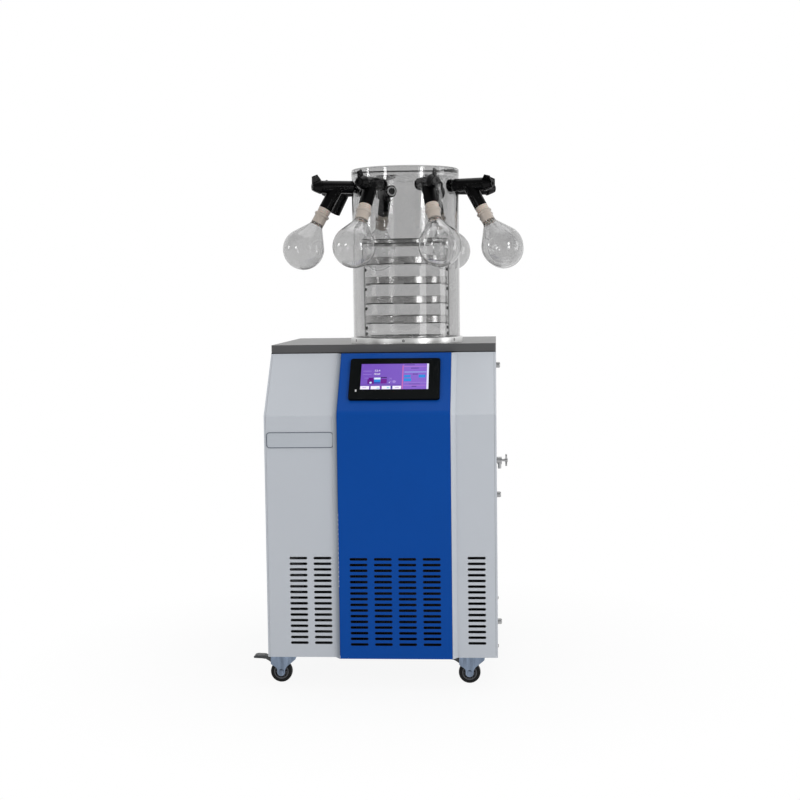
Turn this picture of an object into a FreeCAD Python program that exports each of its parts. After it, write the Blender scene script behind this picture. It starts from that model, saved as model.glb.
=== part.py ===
import FreeCAD, Part
import math
import os
import Sketcher

# Manifold freeze dryer: a sheet-metal cabinet on casters with a cold trap under its top plate, a clear
# drying chamber with a rack of trays over the trap, and eight valves round the chamber that hold
# pear-shaped flasks. +X is to the user's right, +Y to the back and +Z up. The floor is at Z = 0, and the
# Z axis stands in the middle of the whole machine's footprint. Every length is in millimetres.

DIMENSIONS = {
    # where the cabinet stands in the machine's own frame
    "cabinet_x": -13.65,
    "front_y": -321.0,
    # cabinet
    "cabinet_width": 520.0,
    "cabinet_depth": 619.0,
    "bend_height": 548.0,
    "slope_run": 127.0,
    "slope_rise": 136.0,
    "sheet": 1.2,
    "bend_radius": 6.0,
    "lip_width": 14.0,
    "seam": 0.4,
    "side_edge": 4.0,
    "centre_width": 253.2,
    "centre_offset": 32.1,
    "centre_proud": 15.0,
    "channel_round": 1.8,
    "strip_width": 11.5,
    # cooling slots
    "slot_length": 39.0,
    "slot_height": 4.8,
    "slot_column": 54.6,
    "slot_row": 12.9,
    "slot_first": 33.0,
    "slot_rows": 16.0,
    "slot_inset": 7.3,
    "slot_offset": 24.3,
    # operator screen on the slope
    "bezel_width": 205.0,
    "bezel_height": 119.0,
    "bezel_depth": 6.0,
    "bezel_corner": 7.0,
    "bezel_foot": 30.0,
    "bezel_margin": 9.0,
    "bezel_seat": 0.1,
    "case_depth": 34.0,
    "display_width": 153.4,
    "display_height": 75.0,
    "display_foot": 28.0,
    "display_sink": 0.8,
    "display_thickness": 2.4,
    # frame, pan and top plate
    "pan_wall": 2.0,
    "pan_height": 30.0,
    "pan_gap": 0.6,
    "shadow_gap": 2.0,
    "post_width": 24.0,
    "frame_gap": 0.3,
    "rail_height": 16.0,
    "plate_thickness": 18.0,
    "plate_sheet": 2.0,
    "plate_corner": 3.0,
    # cold trap and refrigeration
    "trap_space": 33.0,
    "trap_depth": 220.0,
    "trap_wall": 1.5,
    "trap_flange": 20.0,
    "trap_bend": 20.0,
    "trap_clearance": 2.0,
    "coil_tube": 4.0,
    "coil_pitch": 40.0,
    "coil_half_turns": 7.0,
    "compressor_radius": 62.0,
    "compressor_height": 165.0,
    "foot_height": 12.0,
    "foot_radius": 10.0,
    "foot_inset": 4.0,
    "foot_plate": 3.0,
    "shell_round": 28.0,
    "shell_belt": 90.75,
    "lip_reach": 4.0,
    "terminal_width": 36.0,
    "terminal_depth": 22.0,
    "terminal_seat": 6.2,
    "terminal_rise": 33.0,
    "compressor_x": 120.0,
    "compressor_y": 400.0,
    "condenser_width": 230.0,
    "condenser_height": 240.0,
    "condenser_depth": 44.0,
    "condenser_x": 32.0,
    "condenser_y": 60.0,
    "fin_pitch": 16.0,
    "fin_thickness": 1.5,
    "core_inset": 7.0,
    "return_bends": 4.0,
    "bend_span": 24.0,
    "fan_radius": 88.0,
    "fan_depth": 24.0,
    "fan_hub": 24.0,
    "fan_blades": 5.0,
    "fan_shaft": 3.0,
    "shroud_gap": 5.0,
    "shroud_wall": 2.0,
    "arm_width": 14.0,
    "motor_radius": 28.0,
    "motor_length": 46.0,
    "blade_chord": 38.0,
    "blade_thickness": 2.0,
    "blade_pitch": 24.0,
    # drain valve on the right side
    "drain_y": 250.0,
    "drain_z": 417.0,
    "drain_radius": 6.0,
    "drain_bore": 3.0,
    "drain_reach": 12.0,
    "drain_bend": 20.0,
    "tap_radius": 8.0,
    "spout_at": 7.0,
    "spout_radius": 4.0,
    "spout_length": 12.0,
    "spout_collar": 5.0,
    "collar_drop": 1.5,
    "stem_depth": 5.0,
    "tee_length": 29.0,
    "tee_hub": 5.0,
    "tee_thickness": 7.0,
    "tee_waist": 3.0,
    "tee_round": 4.0,
    "wing_thickness": 4.2,
    "tee_stand": 10.0,
    "tee_stem": 3.0,
    # thumb screws on the right side
    "stud_radius": 7.0,
    "stud_reach": 10.0,
    "stud_round": 2.8,
    "stud_y": 280.0,
    "stud_shank": 1.4,
    "stud_low": 18.0,
    "stud_middle": 330.0,
    "stud_high": 644.0,
    # rear services
    "port_height": 560.0,
    "port_radius": 13.0,
    "port_bore": 11.0,
    "port_flange": 20.0,
    "port_reach": 38.0,
    "flange_cone": 4.0,
    "inlet_width": 48.0,
    "inlet_height": 74.0,
    "inlet_rim": 5.0,
    "inlet_corner": 3.0,
    "inlet_flange": 3.0,
    "inlet_depth": 30.0,
    "socket_width": 28.0,
    "socket_height": 20.0,
    "socket_foot": 9.0,
    "socket_depth": 18.0,
    "pin_width": 3.0,
    "pin_spacing": 7.0,
    "rocker_at": 18.0,
    "rocker_width": 20.0,
    "rocker_height": 26.0,
    "rocker_depth": 12.0,
    "rocker_clear": 0.9,
    "rocker_proud": 3.2,
    "rocker_dip": 1.4,
    "rocker_keel": 5.0,
    "inlet_x": 150.0,
    "inlet_z": 110.0,
    "rocker_travel": 16.0,
    # chamber
    "chamber_x": 46.5,
    "chamber_y": 277.0,
    "ring_wall": 6.0,
    "ring_ledge": 11.0,
    "ring_height": 13.0,
    "ring_floor": 4.0,
    "ring_round": 2.0,
    "seal_thickness": 2.5,
    "tube_radius": 128.0,
    "tube_wall": 6.0,
    "tube_gap": 0.5,
    "lid_under": 395.0,
    "lid_thickness": 16.0,
    "lid_step": 5.0,
    "lid_round": 4.0,
    "port_level": 368.0,
    "port_first": 21.2,
    "port_count": 8.0,
    "stem_radius": 8.0,
    "stem_clearance": 0.3,
    "nut_radius": 14.5,
    "nut_thickness": 8.0,
    # rack and trays
    "rack_lip": 9.0,
    "rack_ring": 16.0,
    "rack_foot_radius": 5.0,
    "rack_foot": 13.0,
    "rack_sheet": 2.5,
    "rack_height": 244.0,
    "rack_cap": 12.0,
    "post_flat": 14.0,
    "post_gap": 2.0,
    "shelf_reach": 14.0,
    "post_hole": 1.6,
    "tray_space": 30.0,
    "tray_height": 18.0,
    "tray_wall": 1.0,
    "tray_pitch": 46.3,
    "tray_first": 45.6,
    "tray_count": 4.0,
    "tab_width": 19.0,
    "tab_height": 12.0,
    "tab_reach": 3.0,
    "tab_turn": -7.0,
    # manifold valves, measured from the chamber's axis and along each branch
    "valve_radius": 15.0,
    "valve_seat": 0.3,
    "nut_seat": 1.2,
    "nut_round": 2.0,
    "stem_proud": 2.0,
    "valve_length": 79.0,
    "head_gap": 0.4,
    "socket_start": 22.0,
    "turned_lever": 50.0,
    "free_port": 5.0,
    "valve_round": 4.0,
    "branch_out": 40.0,
    "branch_tilt": 30.0,
    "branch_radius": 15.5,
    "branch_bore": 12.6,
    "branch_length": 60.0,
    "plug_radius": 9.0,
    "plug_start": 22.0,
    "plug_bore": 4.0,
    "running_gap": 0.05,
    "plug_head": 16.5,
    "plug_flange": 3.0,
    "plug_head_length": 18.0,
    "plug_shoulder": 10.4,
    "plug_boss": 8.8,
    "plug_boss_length": 3.6,
    "plug_eye": 4.4,
    "lever_height": 29.0,
    "lever_drop": 5.0,
    "lever_thickness": 4.0,
    "lever_lean": 9.0,
    # flasks and their adapters, measured along the branch
    "fit_gap": 0.2,
    "adapter_in": 12.0,
    "adapter_ridge": 0.7,
    "rim_at": 74.0,
    "taper_end": 98.0,
    "taper_top": 12.8,
    "taper_foot": 11.6,
    "adapter_bore": 8.0,
    "neck_radius": 15.4,
    "neck_end": 104.0,
    "collar_radius": 18.0,
    "collar_height": 5.0,
    "collar_round": 1.5,
    "shoulder_lean": 33.928473,
    "bulb_radius": 48.5,
    "glass": 2.2,
    "neck_blend": 12.0,
    # casters
    "fork_room": 23.0,
    "caster_side": 217.0,
    "caster_inset": 60.0,
    "caster_trail": 22.0,
    "caster_plate": 58.0,
    "caster_plate_thickness": 3.0,
    "bolt_spacing": 42.0,
    "bolt_hole": 3.2,
    "plate_round": 5.0,
    "raceway_radius": 19.0,
    "raceway_height": 7.0,
    "swivel_gap": 0.4,
    "swivel_pin": 4.0,
    "crown_radius": 18.0,
    "crown_thickness": 2.5,
    "fork_sheet": 2.5,
    "fork_gap": 1.2,
    "wheel_radius": 25.0,
    "wheel_width": 18.0,
    "tread_round": 4.0,
    "hub_radius": 17.0,
    "hub_recess": 2.5,
    "boss_radius": 6.0,
    "axle_radius": 3.0,
    "axle_head": 6.0,
    "axle_head_thickness": 3.0,
    "ear_reach": 24.0,
    "lobe_radius": 9.0,
    "ear_radius": 6.0,
    "barrel_radius": 4.4,
    "pivot_lean": 36.0,
    "pedal_pin": 2.0,
    "pedal_rise": 9.5,
    "pedal_width": 25.0,
    "pedal_corner": 4.0,
    "pedal_reach": 46.0,
    "pedal_sheet": 2.5,
    "pedal_gap": 0.6,
}

V = FreeCAD.Vector
UP = V(0, 0, 1)
doc = FreeCAD.newDocument("FreezeDryer")
sheet = doc.addObject("Spreadsheet::Sheet", "Dimensions")
for row, (alias, value) in enumerate(DIMENSIONS.items(), start=1):
    sheet.set("A%d" % row, alias)
    sheet.set("B%d" % row, str(value))
    sheet.setAlias("B%d" % row, alias)
doc.recompute()


class Size:
    """A number from the sheet, or one worked out from it, with the expression that gives it."""

    def __init__(self, number, text):
        self.number = number
        self.text = text

    def __add__(self, other):
        return Size(self.number + number_of(other), "(%s + %s)" % (self.text, text_of(other)))

    def __radd__(self, other):
        return Size(number_of(other) + self.number, "(%s + %s)" % (text_of(other), self.text))

    def __sub__(self, other):
        return Size(self.number - number_of(other), "(%s - %s)" % (self.text, text_of(other)))

    def __rsub__(self, other):
        return Size(number_of(other) - self.number, "(%s - %s)" % (text_of(other), self.text))

    def __mul__(self, other):
        return Size(self.number * number_of(other), "(%s * %s)" % (self.text, text_of(other)))

    def __rmul__(self, other):
        return Size(number_of(other) * self.number, "(%s * %s)" % (text_of(other), self.text))

    def __truediv__(self, other):
        return Size(self.number / number_of(other), "(%s / %s)" % (self.text, text_of(other)))

    def __neg__(self):
        return Size(-self.number, "(0 - %s)" % self.text)


def number_of(value):
    return value.number if isinstance(value, Size) else float(value)


def text_of(value):
    return value.text if isinstance(value, Size) else "(%r)" % float(value)


def root(value):
    return Size(math.sqrt(value.number), "sqrt(%s)" % value.text)


def size(alias):
    """The sheet's own size of that name."""
    return Size(float(sheet.get(alias)), "Dimensions." + alias)


def bind(thing, name, value):
    """Give a property its size, tied to the sheet where the size comes from there."""
    if isinstance(value, Size):
        thing.setExpression(name, value.text)
    elif value:
        setattr(thing, name, value)


def stand(thing, x=0, y=0, z=0, turn=None, around=None):
    """Put an object's own origin at a place, turned if asked, or carried round the Z axis with its place."""
    spot = V(number_of(x), number_of(y), number_of(z))
    if around:
        return carried(thing, (x, y, z), around)
    thing.Placement = FreeCAD.Placement(spot, turn or FreeCAD.Rotation())
    for axis, value in (("x", x), ("y", y), ("z", z)):
        thing.setExpression("Placement.Base." + axis, value.text if isinstance(value, Size) else None)
    return thing


def carried(thing, place, around):
    """Put an object at a place that is itself turned about Z, with the place still tied to the sheet."""
    x, y, z = place
    cosine, sine = math.cos(around.Angle * around.Axis.z), math.sin(around.Angle * around.Axis.z)
    thing.Placement = FreeCAD.Placement(V(), around)
    for axis, value in (("x", x * cosine - y * sine), ("y", x * sine + y * cosine), ("z", z)):
        thing.setExpression("Placement.Base." + axis, text_of(value))
    return thing


class Drawing:
    """A sketch on one of its own body's planes, with its points held by sizes from the sheet."""

    def __init__(self, body, plane="XY_Plane", lift=None):
        self.sketch = body.newObject("Sketcher::SketchObject", "Sketch")
        support = next(f for f in body.Origin.OriginFeatures if f.Role == plane)
        self.sketch.AttachmentSupport = (support, [""])
        self.sketch.MapMode = "FlatFace"
        if lift is not None:
            bind(self.sketch, "AttachmentOffset.Base.z", lift)

    def rule(self, *terms, value=None):
        """Add a constraint, tied to its size if it has one."""
        if value is None:
            return self.sketch.addConstraint(Sketcher.Constraint(*terms))
        index = self.sketch.addConstraint(Sketcher.Constraint(*terms, number_of(value)))
        if isinstance(value, Size):
            self.sketch.setExpression("Constraints[%d]" % index, value.text)
        return index

    def hold(self, item, end, x, y):
        """Hold one point by its distances from the sketch's two axes."""
        for kind, axis, value in (("DistanceX", -2, x), ("DistanceY", -1, y)):
            if number_of(value) == 0:
                self.rule("PointOnObject", item, end, axis)
            else:
                self.rule(kind, -1, 1, item, end, value=value)

    def circle(self, x, y, radius):
        centre = V(number_of(x), number_of(y), 0)
        item = self.sketch.addGeometry(Part.Circle(centre, UP, number_of(radius)), False)
        self.hold(item, 3, x, y)
        self.rule("Radius", item, value=radius)
        return item

    def slot(self, x, y, length, height):
        """A level slot with round ends, centred at x, y."""
        half, radius = (length - height) / 2, height / 2
        ends = []
        for side, first, last in ((-1, 90, 270), (1, -90, 90)):
            centre = V(number_of(x + half * side), number_of(y), 0)
            round_end = Part.Circle(centre, UP, number_of(radius))
            span = Part.ArcOfCircle(round_end, math.radians(first), math.radians(last))
            item = self.sketch.addGeometry(span, False)
            self.hold(item, 3, x + half * side, y)
            ends.append(item)
        self.rule("Radius", ends[0], value=radius)
        self.rule("Equal", ends[0], ends[1])
        for start, finish in (((ends[0], 2), (ends[1], 1)), ((ends[1], 2), (ends[0], 1))):
            line = Part.LineSegment(self.point(*start), self.point(*finish))
            item = self.sketch.addGeometry(line, False)
            self.rule("Tangent", start[0], start[1], item, 1)
            self.rule("Tangent", item, 2, finish[0], finish[1])

    def point(self, item, end):
        return self.sketch.getPoint(item, end)

    def run(self, corners, closed=True):
        """Straight sides through corners, each (x, y) or (x, y, radius of the round there)."""
        count = len(corners)
        tips = [V(number_of(c[0]), number_of(c[1]), 0) for c in corners]
        rounds = {i: self.round_at(tips, i) for i, c in enumerate(corners) if len(c) == 3}
        for i, (start, finish, arc) in rounds.items():
            rounds[i] = (start, finish, arc, number_of(corners[i][2]))
        lines = []
        for i in range(count if closed else count - 1):
            j = (i + 1) % count
            start, finish = tips[i], tips[j]
            if i in rounds:
                start = tips[i] + rounds[i][1] * (rounds[i][3] * rounds[i][2])
            if j in rounds:
                finish = tips[j] - rounds[j][0] * (rounds[j][3] * rounds[j][2])
            lines.append(self.sketch.addGeometry(Part.LineSegment(start, finish), False))
        for i, corner in enumerate(corners):
            if not closed and i in (0, count - 1):
                item, end = (lines[0], 1) if i == 0 else (lines[-1], 2)
                self.hold(item, end, corner[0], corner[1])
            elif i in rounds:
                self.soften(lines[i - 1], lines[i], tips[i], corner, rounds[i])
            else:
                self.rule("Coincident", lines[i - 1], 2, lines[i], 1)
                self.hold(lines[i], 1, corner[0], corner[1])
        return lines

    def round_at(self, tips, i):
        """The ways in and out of a corner, and the tangent of half the turn there."""
        inward = (tips[i] - tips[i - 1]).normalize()
        outward = (tips[(i + 1) % len(tips)] - tips[i]).normalize()
        turn = inward.getAngle(outward)
        return inward, outward, math.tan(turn / 2)

    def soften(self, before, after, tip, corner, way):
        """Join two sides by an arc tangent to both, with the sharp corner kept as a guide point."""
        inward, outward, setback, radius = way
        left = 1 if inward.cross(outward).z > 0 else -1
        start = tip - inward * (radius * setback)
        centre = start + UP.cross(inward) * (left * radius)
        finish = tip + outward * (radius * setback)
        first, last = [math.atan2(p.y - centre.y, p.x - centre.x) for p in (start, finish)]
        if left < 0:
            first, last = last, first
        arc = self.sketch.addGeometry(Part.ArcOfCircle(Part.Circle(centre, UP, radius), first, last), False)
        guide = self.sketch.addGeometry(Part.Point(tip), True)
        self.rule("PointOnObject", guide, 1, before)
        self.rule("PointOnObject", guide, 1, after)
        self.hold(guide, 1, corner[0], corner[1])
        self.rule("Tangent", before, 2, arc, 1 if left > 0 else 2)
        self.rule("Tangent", after, 1, arc, 2 if left > 0 else 1)
        self.rule("Radius", arc, value=corner[2])

    def box(self, x, y, width, height, corner=None):
        """A rectangle from its low corner, with rounded corners if asked."""
        ends = ((x, y), (x + width, y), (x + width, y + height), (x, y + height))
        self.run([end + ((corner,) if corner else ()) for end in ends])


def new_body(name="Body"):
    return doc.addObject("PartDesign::Body", name)


def pad(body, drawing, length, both_ways=False, reverse=False):
    feature = body.newObject("PartDesign::Pad", "Pad")
    feature.Profile = drawing.sketch
    bind(feature, "Length", length)
    feature.Midplane = both_ways
    feature.Reversed = reverse
    return feature


def pocket(body, drawing, length=None, both_ways=False, reverse=False):
    """Cut an outline to a depth, or right through."""
    feature = body.newObject("PartDesign::Pocket", "Pocket")
    feature.Profile = drawing.sketch
    if length is None:
        feature.Type = "ThroughAll"
    else:
        bind(feature, "Length", length)
    feature.Midplane = both_ways
    feature.Reversed = reverse
    return feature


def turned(corners):
    """A body turned about Z from half its section, given as radius and height."""
    body = new_body()
    drawing = Drawing(body, "XZ_Plane")
    drawing.run(corners)
    feature = body.newObject("PartDesign::Revolution", "Revolution")
    feature.Profile = drawing.sketch
    feature.ReferenceAxis = (drawing.sketch, ["V_Axis"])
    feature.Angle = 360
    return body


def prism(plane, corners, length, both_ways=False, reverse=False):
    body = new_body()
    drawing = Drawing(body, plane)
    drawing.run(corners)
    pad(body, drawing, length, both_ways, reverse)
    return body


def block(width, depth, height, x=0, y=0, z=0):
    """A plain box from its low corner."""
    thing = doc.addObject("Part::Box", "Box")
    for name, value in (("Length", width), ("Width", depth), ("Height", height)):
        bind(thing, name, value)
    return stand(thing, x, y, z)


def rod(radius, length, x=0, y=0, z=0, turn=None):
    thing = doc.addObject("Part::Cylinder", "Cylinder")
    bind(thing, "Radius", radius)
    bind(thing, "Height", length)
    return stand(thing, x, y, z, turn)


def joined(things):
    fusion = doc.addObject("Part::MultiFuse", "Fusion")
    fusion.Shapes = things
    return fusion


def group(things):
    compound = doc.addObject("Part::Compound", "Group")
    compound.Links = things
    return compound


def less(base, tool):
    cut = doc.addObject("Part::Cut", "Cut")
    cut.Base = base
    cut.Tool = tool
    return cut


nodes = {}


def keep(name, thing):
    """Name a finished piece."""
    thing.Label = name
    nodes[name] = thing
    return thing


def axis_turn(axis, degrees):
    return FreeCAD.Rotation(axis, degrees)


# Places and sizes that many pieces share. The cold trap, the base ring, the rack, the trays and the valves
# all follow the clear tube's radius, and the cabinet stands on whatever height its casters have.
tube_reach = size("tube_radius")
trap_reach = tube_reach - size("trap_space")
tray_reach = tube_reach - size("tray_space")
rack_reach = tray_reach + size("rack_lip")
branch_at = tube_reach + size("branch_out")
plug_inner = tube_reach + size("plug_start")
valve_end = tube_reach + size("valve_length")
caster_height = size("wheel_radius") * 2 + size("fork_room")
centre_x = size("cabinet_x")
front_y = size("front_y")
floor_z = caster_height
half_width = size("cabinet_width") / 2
skin = size("sheet")
seam = size("seam")
run_back = size("slope_run")
rise = size("slope_rise")
slope = root(run_back * run_back + rise * rise)
shell_height = size("bend_height") + rise
skin_top = shell_height - size("shadow_gap")
plate_z = floor_z + shell_height
top_z = plate_z + size("plate_thickness")
rear_y = size("cabinet_depth")
centre_left = size("centre_offset") - size("centre_width") / 2
centre_right = size("centre_offset") + size("centre_width") / 2
chamber_x = centre_x + size("chamber_x")
chamber_y = front_y + size("chamber_y")


# ---- Front panels: folded sheet that rises to the bend, leans back to the top plate and ends in two lips.

def folded_front(section):
    """Sheet that follows the front of the cabinet, with this plan section, trimmed level at its top."""
    body = new_body()
    plan = Drawing(body)
    plan.run(section)
    line = Drawing(body, "YZ_Plane")
    over = 1.1
    line.run([(0, 0), (0, size("bend_height"), size("bend_radius")),
              (run_back * over, size("bend_height") + rise * over)], closed=False)
    sweep = body.newObject("PartDesign::AdditivePipe", "Fold")
    sweep.Profile = plan.sketch
    sweep.Spine = (line.sketch, ["Edge1", "Edge2", "Edge3"])
    above = Drawing(body, "YZ_Plane")
    above.box(-size("centre_proud"), skin_top, run_back * 2, rise)
    pocket(body, above, both_ways=True)
    return body


def lip(body, x, y, width, reach, z):
    """A flat lip of the panel's own sheet, from its low corner."""
    drawing = Drawing(body, lift=z)
    drawing.box(x, y, width, reach)
    pad(body, drawing, skin)


def slots(body, x, columns):
    """Rows of cooling slots through the front sheet, the first column centred at x."""
    drawing = Drawing(body, "XZ_Plane")
    drawing.slot(x, size("slot_first"), size("slot_length"), size("slot_height"))
    cut = pocket(body, drawing, both_ways=True)
    pattern = body.newObject("PartDesign::MultiTransform", "Slots")
    pattern.Originals = [cut]
    steps = []
    for axis, pitch, count in (("H_Axis", size("slot_column"), columns),
                               ("V_Axis", size("slot_row"), int(size("slot_rows").number))):
        if count > 1:
            step = body.newObject("PartDesign::LinearPattern", "Row")
            step.Direction = (drawing.sketch, [axis])
            bind(step, "Length", pitch * (count - 1))
            step.Occurrences = count
            steps.append(step)
    pattern.Transformations = steps
    body.Tip = pattern


def white_panel(name, side, outer, root_x, tip_x, first_column, columns):
    """One white front panel: flat sheet with a slanted strip that rises to the centre panel's edge."""
    proud = skin - size("centre_proud")
    section = [(outer, 0), (root_x, 0), (tip_x - skin * side, proud), (tip_x, proud),
               (root_x + skin * side, skin), (outer, skin)]
    body = folded_front(section)
    left = min((outer, root_x), key=number_of)
    width = (root_x - outer) * side
    lip(body, left, 0, width, size("lip_width"), 0)
    lip(body, left, run_back - size("shadow_gap"), width, size("lip_width"), skin_top - skin)
    slots(body, first_column, columns)
    keep(name, stand(body, centre_x, front_y, floor_z))


edge = size("side_edge") + seam
left_columns = centre_left - size("strip_width") - size("slot_length") / 2 - size("slot_inset")
white_panel("front_panel_left", 1, edge - half_width, centre_left - size("strip_width"), centre_left - seam,
            left_columns - size("slot_column"), 2)
white_panel("front_panel_right", -1, half_width - edge, centre_right + size("strip_width"),
            centre_right + seam, centre_right + size("strip_width") + size("slot_length") / 2
            + size("slot_offset"), 1)


def centre_panel():
    """The proud centre panel: a channel with returned edges, its cooling slots and the screen's cut-out."""
    half, proud = size("centre_width") / 2, size("centre_proud")
    inner, back = half - skin, -seam * 2
    fold = size("channel_round")
    body = folded_front([(-half, back), (-half, -proud, fold), (half, -proud, fold), (half, back),
                         (inner, back), (inner, skin - proud), (-inner, skin - proud), (-inner, back)])
    lip(body, -half, -proud, half * 2, proud + size("lip_width"), 0)
    top_y = run_back - proud * slope / rise
    lip(body, -half, top_y, half * 2, proud + size("lip_width"), skin_top - skin)
    window = Drawing(body, "XZ_Plane")
    margin = size("bezel_margin")
    foot = size("bend_height") + (proud * run_back + (size("bezel_foot") + margin) * rise) / slope
    window.box(margin - size("bezel_width") / 2, foot - skin, size("bezel_width") - margin * 2,
               (size("bezel_height") - margin * 2) * rise / slope + skin)
    pocket(body, window, both_ways=True)
    slots(body, size("slot_column") * -1.5, 4)
    keep("front_panel_centre", stand(body, centre_x + size("centre_offset"), front_y, floor_z))


centre_panel()


# ---- Side and rear panels.

def side_panel(name, side):
    """Flat side sheet cut to the cabinet's profile, with a narrow folded edge along the front."""
    body = new_body()
    outline = Drawing(body, "YZ_Plane")
    lean = run_back * (skin_top - size("bend_height")) / rise
    outline.run([(0, 0), (rear_y, 0), (rear_y, skin_top), (lean, skin_top),
                 (0, size("bend_height"), size("bend_radius"))])
    pad(body, outline, skin, reverse=side > 0)
    plan = Drawing(body)
    plan.run([(0, 0), (-size("side_edge") * side, 0), (-size("side_edge") * side, skin), (0, skin)])
    line = Drawing(body, "YZ_Plane")
    line.run([(0, 0), (0, size("bend_height"), size("bend_radius")), (lean, skin_top)], closed=False)
    sweep = body.newObject("PartDesign::AdditivePipe", "Edge")
    sweep.Profile = plan.sketch
    sweep.Spine = (line.sketch, ["Edge1", "Edge2", "Edge3"])
    above = Drawing(body, "YZ_Plane")
    above.box(0, skin_top, run_back * 2, rise)
    pocket(body, above, both_ways=True)
    if side > 0:
        hole = Drawing(body, "YZ_Plane")
        hole.circle(size("drain_y"), size("drain_z"), size("drain_radius") + seam)
        for z in (size("stud_low"), size("stud_middle"), size("stud_high")):
            hole.circle(size("stud_y"), z, size("stud_radius") / 2 + seam)
        pocket(body, hole, both_ways=True)
    keep(name, stand(body, centre_x + half_width * side, front_y, floor_z))


side_panel("side_panel_left", -1)
side_panel("side_panel_right", 1)


def rear_panel():
    """Flat rear sheet with outlet slots, the vacuum port's hole and the power inlet's cut-out."""
    body = new_body()
    outline = Drawing(body, "XZ_Plane")
    inner = half_width - skin - seam
    outline.box(-inner, 0, inner * 2, skin_top)
    pad(body, outline, skin, reverse=True)
    holes = Drawing(body, "XZ_Plane")
    holes.circle(size("chamber_x"), size("port_height"), size("port_radius") + seam)
    pocket(body, holes, both_ways=True)
    inlet = Drawing(body, "XZ_Plane")
    wide, high = size("inlet_width") - size("inlet_rim") * 2, size("inlet_height") - size("inlet_rim") * 2
    inlet.box(size("inlet_x") - wide / 2 - seam, size("inlet_z") - high / 2 - seam, wide + seam * 2,
              high + seam * 2)
    pocket(body, inlet, both_ways=True)
    slots(body, size("slot_column") * -3, 4)
    keep("rear_panel", stand(body, centre_x, front_y + rear_y - skin, floor_z))


rear_panel()


# ---- Frame, pan and top plate.

def base_frame():
    """Welded frame: a folded pan at the bottom, four angle posts and a top rail that carries the plate and
    clears the trap."""
    gap, wall = size("frame_gap"), size("pan_wall")
    half = half_width - skin - gap
    front = size("lip_width") + size("pan_gap")
    back = rear_y - skin - gap
    pan = new_body()
    outline = Drawing(pan)
    outline.box(-half, front, half * 2, back - front)
    pad(pan, outline, size("pan_height"))
    hollow = Drawing(pan, lift=wall)
    hollow.box(wall - half, front + wall, (half - wall) * 2, back - front - wall * 2)
    pocket(pan, hollow, size("pan_height"), reverse=True)
    rail = new_body()
    rail_front = run_back + size("lip_width") + size("pan_gap")
    outline = Drawing(rail, lift=shell_height - size("rail_height"))
    outline.box(-half, rail_front, half * 2, back - rail_front)
    pad(rail, outline, size("rail_height"))
    inside = Drawing(rail)
    flange = size("post_width")
    inside.box(flange - half, rail_front + flange, (half - flange) * 2, back - rail_front - flange * 2)
    pocket(rail, inside, both_ways=True)
    under = Drawing(rail, lift=shell_height - wall)
    under.box(wall - half, rail_front + wall, (half - wall) * 2, back - rail_front - wall * 2)
    pocket(rail, under, size("rail_height"))
    well = rod(trap_reach + size("trap_wall") + size("trap_clearance"), size("rail_height"),
               size("chamber_x"), size("chamber_y"), shell_height - size("rail_height"))
    posts = []
    for side in (-1, 1):
        for y, way in ((rail_front, 1), (back, -1)):
            far_x, far_y = -side * size("post_width"), way * size("post_width")
            post = prism("XY_Plane", [(0, 0), (far_x, 0), (far_x, wall * way), (-side * wall, wall * way),
                                      (-side * wall, far_y), (0, far_y)], shell_height - wall)
            posts.append(stand(post, half * side, y, wall / 2))
    keep("base_frame", stand(joined([pan, less(rail, well)] + posts), centre_x, front_y, floor_z))


base_frame()


def top_plate():
    """Folded tray, open underneath, with the mouth of the cold trap cut through it."""
    body = new_body()
    outline = Drawing(body)
    deep = rear_y - run_back
    outline.box(-half_width, run_back, half_width * 2, deep, size("plate_corner"))
    pad(body, outline, size("plate_thickness"))
    wall = size("plate_sheet")
    under = Drawing(body)
    under.box(wall - half_width, run_back + wall, (half_width - wall) * 2, deep - wall * 2)
    pocket(body, under, size("plate_thickness") - wall, reverse=True)
    mouth = Drawing(body)
    mouth.circle(size("chamber_x"), size("chamber_y"), trap_reach)
    pocket(body, mouth, both_ways=True)
    keep("top_plate", stand(body, centre_x, front_y, plate_z))


top_plate()


# ---- Operator screen: its frame lies on the slope, with X along it, Y up it and Z out of it.

lean_turn = axis_turn(V(1, 0, 0), math.degrees(math.atan2(rise.number, run_back.number)))
face_out = size("centre_proud") + size("bezel_seat")
screen_y = front_y + (size("bezel_foot") * run_back - face_out * rise) / slope
screen_z = floor_z + size("bend_height") + (size("bezel_foot") * rise + face_out * run_back) / slope


def screen():
    wide, high, deep = size("bezel_width"), size("bezel_height"), size("bezel_depth")
    margin = size("bezel_margin") + seam
    body = new_body()
    face = Drawing(body)
    face.box(-wide / 2, 0, wide, high, size("bezel_corner"))
    pad(body, face, deep)
    case = Drawing(body)
    case.box(margin - wide / 2, margin, wide - margin * 2, high - margin * 2)
    pad(body, case, size("case_depth"), reverse=True)
    gap = size("fit_gap")
    recess = Drawing(body, lift=deep)
    recess.box(-size("display_width") / 2 - gap, size("display_foot") - gap, size("display_width") + gap * 2,
               size("display_height") + gap * 2)
    pocket(body, recess, size("display_sink") + size("display_thickness"))
    keep("screen_bezel", stand(body, centre_x + size("centre_offset"), screen_y, screen_z, lean_turn))
    glass = new_body()
    pane = Drawing(glass, lift=deep - size("display_sink") - size("display_thickness"))
    pane.box(-size("display_width") / 2, size("display_foot"), size("display_width"), size("display_height"))
    pad(glass, pane, size("display_thickness"))
    keep("screen_glass", stand(glass, centre_x + size("centre_offset"), screen_y, screen_z, lean_turn))


screen()


# ---- Cold trap and refrigeration.

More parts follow.
